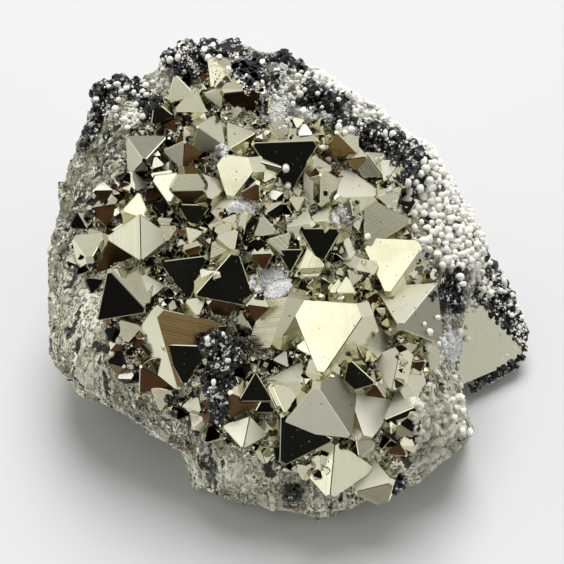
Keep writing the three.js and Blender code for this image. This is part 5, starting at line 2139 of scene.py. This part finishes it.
@dataclass
class DolomiteBeads:
    """The white dolomite: a carpet of beads on a crust painted dark as the shade between them, and beads
    strewn over the top.
    """

    shop: Workshop
    crust: Material
    white: Material
    turn: Duo = (2.0, 84.0)
    tip: Duo = (42.0, 112.0)
    tip_shift: float = 24.0
    ragged: float = 4.0
    ragged_waves: float = 14.0
    thickness: float = 0.45
    steps: tuple[int, int] = (150, 66)
    carpet_spacing: float = 0.84
    carpet_radius: Duo = (0.23, 0.6)
    carpet_share: float = 0.93
    bare: tuple[Trio, ...] = ((428, 224, 8), (490, 263, 9), (463, 192, 5), (411, 214, 5), (452, 250, 4))
    bead_radius: Duo = (2.6, 3.8)
    tries: int = 4000
    carpet_proud: float = 0.45
    strewn_proud: float = 0.55
    stretch: float = 0.14
    bumps: float = 0.08

    def __post_init__(self) -> None:
        """Prepare the bead shape and the chance that places beads."""
        self.shape, self.shape_faces = ball(2)
        self.random = np.random.default_rng(31)

    def build(self) -> None:
        """Make the crust, its carpet of beads and the strewn beads."""
        sheet, faces, top = self.sheet()
        nodes = ("dolomite_crust",)
        self.shop.make("flank_crust", sheet, faces, self.crust, "dolomite", nodes, True, True)
        seats = self.apart(top, self.carpet_spacing)
        pixels = VIEW.pixels(seats)
        kept = self.random.uniform(size=len(seats)) < self.carpet_share
        for x, y, reach in self.bare:
            kept &= np.hypot(*(pixels - (x, y)).T) > reach
        seats = seats[kept]
        radii = np.interp(self.random.uniform(size=len(seats)) ** 1.2, (0.0, 1.0), self.carpet_radius)
        centres = seats + SKIN.outward(seats) * self.carpet_proud * radii[:, None]
        self.make("bead_carpet", centres, radii, nodes)
        self.strew()

    def strew(self) -> None:
        """Place the beads that were read and those of the patches on whatever carries them."""
        spots = [(x, y, self.random.uniform(*self.bead_radius)) for x, y in BEADS]
        for patch in BEAD_PATCHES:
            tries = scattered(self.random.uniform(size=(self.tries, 2)), patch.outline)
            tries = tries[inside(tries[:, 0], tries[:, 1], patch.outline)]
            kept = self.apart(tries, patch.spacing)
            kept = kept[self.random.uniform(size=len(kept)) < patch.share]
            spots += [(x, y, self.random.uniform(*patch.radius)) for x, y in kept]
        centres, radii = [], []
        for x, y, size in spots:
            hit = self.shop.under(x, y)
            if hit is None:
                continue
            radius = size * VIEW.pixel
            centres.append(hit[0] + hit[1] * self.strewn_proud * radius)
            radii.append(radius)
        self.make("strewn_beads", np.array(centres), np.array(radii), ())

    def sheet(self) -> tuple[Array, list, Array]:
        """The crust under the carpet, closed by an underside.

        Returns:
            Its vertices, its faces, and the points of its top.
        """
        turns, tips = self.steps
        ways = np.linspace(0, 1, turns + 1), np.linspace(0, 1, tips + 1)
        share, across = np.meshgrid(*ways, indexing="ij")
        turn = np.interp(share, (0, 1), self.turn)
        turn = np.radians(turn + self.ragged * share * np.sin(self.ragged_waves * across))
        start = self.tip[0] + self.tip_shift * share
        tip = np.radians(start + (self.tip[1] - start) * across)
        flat = SKIN.point(turn, tip, 0.0 * turn).reshape(-1, 3)
        edge = np.minimum(np.minimum(share, 1 - share), np.minimum(across, 1 - across)).ravel()
        body = smoothstep(0.0, 0.05, edge)
        lift = (self.thickness + 0.35 * noise_at(flat, 0.9)) * body - 0.5 * (1.0 - body)
        top = flat + SKIN.outward(flat) * lift[:, None]
        bottom = flat - SKIN.outward(flat) * 0.9
        size = (turns + 1) * (tips + 1)
        faces = []
        for i in range(turns):
            for j in range(tips):
                a = i * (tips + 1) + j
                quad = [a, a + tips + 1, a + tips + 2, a + 1]
                faces += [quad[::-1], [size + n for n in quad]]
        rim = list(range(tips))
        rim += [i * (tips + 1) + tips for i in range(turns)]
        rim += [turns * (tips + 1) + j for j in range(tips, 0, -1)]
        rim += [i * (tips + 1) for i in range(turns, 0, -1)]
        faces += [[a, b, size + b, size + a] for a, b in zip(rim, rim[1:] + rim[:1])]
        return np.concatenate([top, bottom]), faces, top[edge > 0.02]

    def apart(self, points: Array, spacing: float) -> Array:
        """Choose points that keep a distance from each other.

        Args:
            points: The points to choose from.
            spacing: The least distance.

        Returns:
            Those chosen.
        """
        shuffled = points[self.random.permutation(len(points))]
        kept = shuffled[:1]
        for point in shuffled[1:]:
            if ((kept - point) ** 2).sum(axis=1).min() > spacing**2:
                kept = np.vstack([kept, point])
        return kept

    def make(self, name: str, centres: Array, radii: Array, nodes: tuple[str, ...]) -> None:
        """Make one piece of many beads.

        Args:
            name: The piece's name.
            centres: Their middles.
            radii: Their radii.
            nodes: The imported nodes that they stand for.
        """
        parts = []
        for centre, radius in zip(centres, radii):
            stretch = 1.0 + self.stretch * self.random.normal(size=3)
            bumps = 1.0 + self.bumps * self.random.normal(size=(len(self.shape), 1))
            parts.append((centre + self.shape * bumps * stretch * radius, self.shape_faces))
        self.shop.make(name, *joined(parts), self.white, "dolomite", nodes, True)


@dataclass(frozen=True)
class GrainPatch:
    """A part of the picture that is crusted with milky grains."""

    outline: tuple[Duo, ...]
    count: int
    radius: Duo
    clumped: bool = False


GLASSY_PATCHES = (
    GrainPatch(
        (
            (414, 398), (446, 392), (470, 404), (474, 440), (452, 452), (424, 470), (408, 460),
            (410, 430),
        ),
        200, (2.0, 7.0),
    ),
    GrainPatch(
        (
            (206, 436), (240, 452), (270, 470), (262, 500), (226, 486), (204, 478),
        ),
        60, (1.4, 3.6),
    ),
)

GRAIN_PATCHES = (
    GrainPatch(
        (
            (258, 92), (272, 60), (300, 62), (345, 92), (392, 122), (360, 122), (330, 122),
            (300, 124), (276, 130),
        ),
        700, (1.2, 3.4),
    ),
    GrainPatch(
        (
            (118, 124), (132, 92), (150, 76), (176, 66), (172, 84), (150, 98), (140, 126),
        ),
        120, (1.2, 2.8),
    ),
    GrainPatch(
        (
            (412, 232), (436, 262), (466, 288), (462, 318), (452, 330), (444, 322), (430, 280),
        ),
        110, (1.2, 2.8),
    ),
    GrainPatch(
        (
            (442, 300), (470, 286), (468, 306), (460, 330), (464, 340), (456, 376), (446, 396),
            (438, 390),
        ),
        170, (1.2, 3.0),
    ),
    GrainPatch(
        (
            (470, 236), (488, 250), (490, 284), (476, 312), (464, 320), (466, 280),
        ),
        130, (1.0, 2.6),
    ),
    GrainPatch(
        (
            (378, 184), (402, 176), (412, 206), (402, 214), (384, 206),
        ),
        60, (1.2, 2.4),
    ),
)


SPECK_PATCHES = (
    GrainPatch(
        (
            (158, 62), (180, 40), (238, 38), (262, 54), (282, 90), (262, 108), (236, 86), (200, 76),
            (166, 78),
        ),
        340, (0.7, 1.9), True,
    ),
    GrainPatch(
        (
            (88, 96), (110, 74), (146, 78), (160, 92), (150, 122), (100, 132), (86, 148),
        ),
        150, (0.7, 1.9), True,
    ),
    GrainPatch(
        (
            (334, 122), (376, 112), (430, 138), (444, 176), (408, 200), (396, 170), (350, 148),
        ),
        100, (0.7, 1.9), True,
    ),
    GrainPatch(
        (
            (468, 250), (500, 256), (526, 318), (528, 345), (516, 340), (512, 322), (480, 290),
        ),
        380, (0.8, 2.4), True,
    ),
    GrainPatch(
        (
            (528, 345), (516, 372), (500, 384), (474, 394), (500, 362), (516, 344),
        ),
        40, (0.6, 1.6), True,
    ),
    GrainPatch(
        (
            (202, 336), (246, 338), (244, 364), (228, 420), (212, 418), (204, 370),
        ),
        40, (0.6, 1.5), True,
    ),
)


@dataclass
class MilkyGrains:
    """The grey crust between the lumps and the crystals: irregular milky grains."""

    shop: Workshop
    material: Material
    name: str
    patches: tuple[GrainPatch, ...]
    clump: int = 7
    clump_reach: float = 2.6
    unevenness: float = 0.16
    stretch: Duo = (0.6, 1.15)
    sunk: float = 0.2

    def build(self) -> None:
        """Make the patches as one piece."""
        random = np.random.default_rng(37)
        shape, shape_faces = ball(1)
        parts = []
        for patch in self.patches:
            spots = scattered(random.uniform(size=(4 * patch.count, 2)), patch.outline)
            if patch.clumped:
                together = np.arange(len(spots)) // self.clump
                spots = spots[together] + self.clump_reach * random.normal(size=spots.shape)
            spots = spots[inside(spots[:, 0], spots[:, 1], patch.outline)][: patch.count]
            for x, y in spots:
                hit = self.shop.under(x, y)
                if hit is None:
                    continue
                radius = random.uniform(*patch.radius) * VIEW.pixel
                turned, _ = np.linalg.qr(random.normal(size=(3, 3)))
                uneven = 1.0 + self.unevenness * random.normal(size=(len(shape), 1))
                stretch = radius * random.uniform(*self.stretch, 3)
                place = hit[0] - hit[1] * self.sunk * radius
                parts.append((place + (shape * uneven * stretch) @ turned, shape_faces))
        self.shop.make(self.name, *joined(parts), self.material, "dolomite", (), False, True)


# Each druse: pixels across and down, and its reach sideways and upwards.
QUARTZ = (
    (241, 214, 14, 12), (270, 284, 21, 14), (347, 217, 15, 10), (273, 113, 12, 10), (452, 345, 10, 15),
    (222, 150, 6, 6),
)


@dataclass
class QuartzDruses:
    """The quartz: a druse of small six-sided needles in each of its places."""

    shop: Workshop
    material: Material
    needles_per_area: float = 2.0
    length: Duo = (0.15, 0.75)
    thickness: Duo = (0.05, 0.11)
    depth: float = 0.4
    mound: float = 0.7
    packed: int = 5
    splay: float = 0.6
    upright: float = 0.5
    disorder: float = 0.9
    grain: Duo = (0.25, 0.5)
    grain_sunk: float = 0.3
    grain_stretch: Duo = (0.7, 1.2)

    def build(self) -> None:
        """Make every druse."""
        self.random = np.random.default_rng(41)
        for number, spot in enumerate(QUARTZ, start=1):
            nodes = (f"quartz_cluster_{number}",) if number <= self.packed else ()
            self.shop.make(f"quartz_druse_{number}", *self.druse(spot), self.material, "quartz", nodes)

    def druse(self, spot: tuple) -> Mesh:
        """Shape one druse.

        Args:
            spot: Its middle and its reach sideways and upwards, in pixels.

        Returns:
            Its vertices and faces.
        """
        x, y, wide, high = spot
        random = self.random
        shape, shape_faces = ball(1)
        parts = []
        for _ in range(int(self.needles_per_area * wide * high)):
            angle, away = random.uniform(0, 2 * math.pi), math.sqrt(random.uniform(0, 1))
            across, down = away * math.cos(angle), away * math.sin(angle)
            hit = self.shop.under(x + wide * across, y + high * down)
            if hit is None:
                continue
            axes = VIEW.axes_at(hit[0])
            lean = axes.T @ np.array([self.splay * across, -self.splay * down, self.upright])
            axis = unit(lean + self.disorder * random.normal(size=3))
            root = hit[0] + axes[2] * self.mound * (1.0 - away * away)
            grain = random.uniform(*self.grain)
            place = root - axes[2] * self.grain_sunk
            parts.append((place + shape * grain * random.uniform(*self.grain_stretch, 3), shape_faces))
            length = random.uniform(*self.length) + self.depth
            radius = random.uniform(*self.thickness)
            parts.append(self.needle(root - axis * self.depth, axis, length, radius))
        return joined(parts)

    def needle(self, root: Array, axis: Array, length: float, radius: float) -> Mesh:
        """A six-sided prism with a pointed end.

        Args:
            root: Where it starts.
            axis: Its direction.
            length: Its length.
            radius: Its radius.

        Returns:
            Its vertices and faces.
        """
        side = unit(np.cross(axis, self.random.normal(size=3)))
        other = np.cross(axis, side)
        angles = np.arange(6) * math.pi / 3
        ring = radius * (np.outer(np.cos(angles), side) + np.outer(np.sin(angles), other))
        shoulder = root + axis * max(0.4 * length, length - 1.3 * radius)
        vertices = np.concatenate([root + ring, shoulder + ring, [root + axis * length]])
        faces = [[5, 4, 3, 2, 1, 0]]
        for i in range(6):
            j = (i + 1) % 6
            faces += [[i, j, 6 + j, 6 + i], [6 + i, 6 + j, 12]]
        return vertices, faces


@dataclass
class Studio:
    """The plain studio: a pale floor, soft light all round, a key lamp and the camera."""

    material: Material
    floor_reach: float = 3.0
    ambient: float = 0.43
    key_power: float = 56.0
    key_size: float = 1.6
    key_distance: float = 2.4
    key_azimuth: float = 176.0
    key_elevation: float = 61.0

    def build(self) -> None:
        """Make the floor, the lights and the camera."""
        self.make_floor()
        self.make_world()
        self.make_key()
        self.make_camera()
        bpy.context.scene.view_settings.view_transform = "Standard"

    def make_floor(self) -> None:
        """Lay the floor."""
        reach = self.floor_reach
        mesh = bpy.data.meshes.new("floor")
        corners = [(-reach, -reach, 0), (reach, -reach, 0), (reach, reach, 0), (-reach, reach, 0)]
        mesh.from_pydata(corners, [], [(0, 1, 2, 3)])
        mesh.materials.append(self.material)
        floor = placed("floor", mesh)
        floor.visible_glossy = False
        floor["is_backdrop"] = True

    def make_world(self) -> None:
        """Light the world by direction, with each zone blended over the plain walls."""
        world = bpy.data.worlds.new("studio")
        bpy.context.scene.world = world
        world.use_nodes = True
        nodes = NodeTree(world.node_tree)
        direction = nodes.vector("NORMALIZE", nodes.add("TexCoord").outputs["Generated"])
        cloudy = nodes.add("TexNoise", {"Vector": direction, "Scale": 2.2, "Detail": 2.0}).outputs["Fac"]
        blotches = nodes.add("TexNoise", {"Vector": direction, "Scale": 7.0}).outputs["Fac"]
        patchy = nodes.ramp(blotches, 0.35, 0.65)
        bright = nodes.ramp(cloudy, 0.3, 0.7)
        light = nodes.mix(bright, (0.64, 0.64, 0.63), (1.12, 1.12, 1.10))
        for group in (STUDIO[Tone.BRIGHT], STUDIO[Tone.BROWN], STUDIO[Tone.BLACK]):
            for zone in group:
                middle = tuple(bearing(zone.azimuth, zone.elevation))
                cosine = nodes.vector("DOT_PRODUCT", direction, middle)
                outer = math.cos(math.radians(zone.reach + zone.fade))
                mask = nodes.ramp(cosine, outer, math.cos(math.radians(zone.reach)))
                faint = tuple(0.55 * value + 0.004 for value in zone.light)
                strong = tuple(1.25 * value for value in zone.light)
                light = nodes.mix(mask, light, nodes.mix(patchy, faint, strong))
        soft = nodes.add("LightPath").outputs["Is Diffuse Ray"]
        strength = nodes.maths("MULTIPLY_ADD", soft, self.ambient - 1.0, 1.0)
        background = nodes.add("Background", {"Color": light, "Strength": strength})
        nodes.add("OutputWorld", {"Surface": background.outputs[0]})

    def make_key(self) -> None:
        """Hang the key lamp, high at the back, out of sight of the mirrors."""
        lamp = bpy.data.lights.new("key", "AREA")
        lamp.shape = "DISK"
        lamp.size = self.key_size
        lamp.energy = self.key_power
        key = placed("key", lamp)
        key.location = bearing(self.key_azimuth, self.key_elevation) * self.key_distance
        key.rotation_euler = Vector(key.location).to_track_quat("Z", "Y").to_euler()
        key.visible_glossy = False

    def make_camera(self) -> None:
        """Set the camera where the photograph was taken from."""
        data = bpy.data.cameras.new("camera")
        data.lens = VIEW.lens
        data.sensor_width = VIEW.sensor
        data.clip_start = 0.01
        camera = placed("camera", data)
        camera.location = VIEW.eye * MM
        camera.rotation_euler = Vector(VIEW.axes[2]).to_track_quat("Z", "Y").to_euler()
        bpy.context.scene.camera = camera


def main() -> None:
    """Build the specimen in order."""
    logging.basicConfig(level=logging.INFO, format="%(message)s")
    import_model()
    cad_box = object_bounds()
    shop = Workshop(np.array(cad_box[0]) / MM, np.array(cad_box[1]) / MM)
    effects = Effects()
    mirror = MirrorPyrite().material(effects)
    massive = MassivePyrite().material(effects)
    black = BlackSphalerite().material(effects)
    white = WhiteDolomite().material(effects)
    quartz = MilkyQuartz().material(effects)
    RoughBlock(shop, massive).build()
    cluster = CrystalCluster(shop, mirror)
    cluster.build()
    cluster.strew()
    MilkyGrains(shop, GreyCrust().material(effects), "milky_grains", GRAIN_PATCHES).build()
    glassy = GreyCrust("glassy crust", (0.95, 0.95, 0.82), (0.52, 0.51, 0.38), clear=0.3)
    MilkyGrains(shop, glassy.material(effects), "glassy_grains", GLASSY_PATCHES).build()
    lumps = SphaleriteLumps(shop, black, cluster.corner)
    lumps.build()
    MilkyGrains(shop, white, "white_specks", SPECK_PATCHES).build()
    QuartzDruses(shop, quartz).build()
    # The crust under the bead carpet is painted dark grey and near black as the shade between the beads.
    dusty = GreyCrust("crust painted dark as shade between beads", (0.50, 0.50, 0.47), (0.03, 0.03, 0.03))
    DolomiteBeads(shop, dusty.material(effects), white).build()
    lumps.specks()
    Studio(PaleFloor().material(effects)).build()


if __name__ == "__main__":
    main()
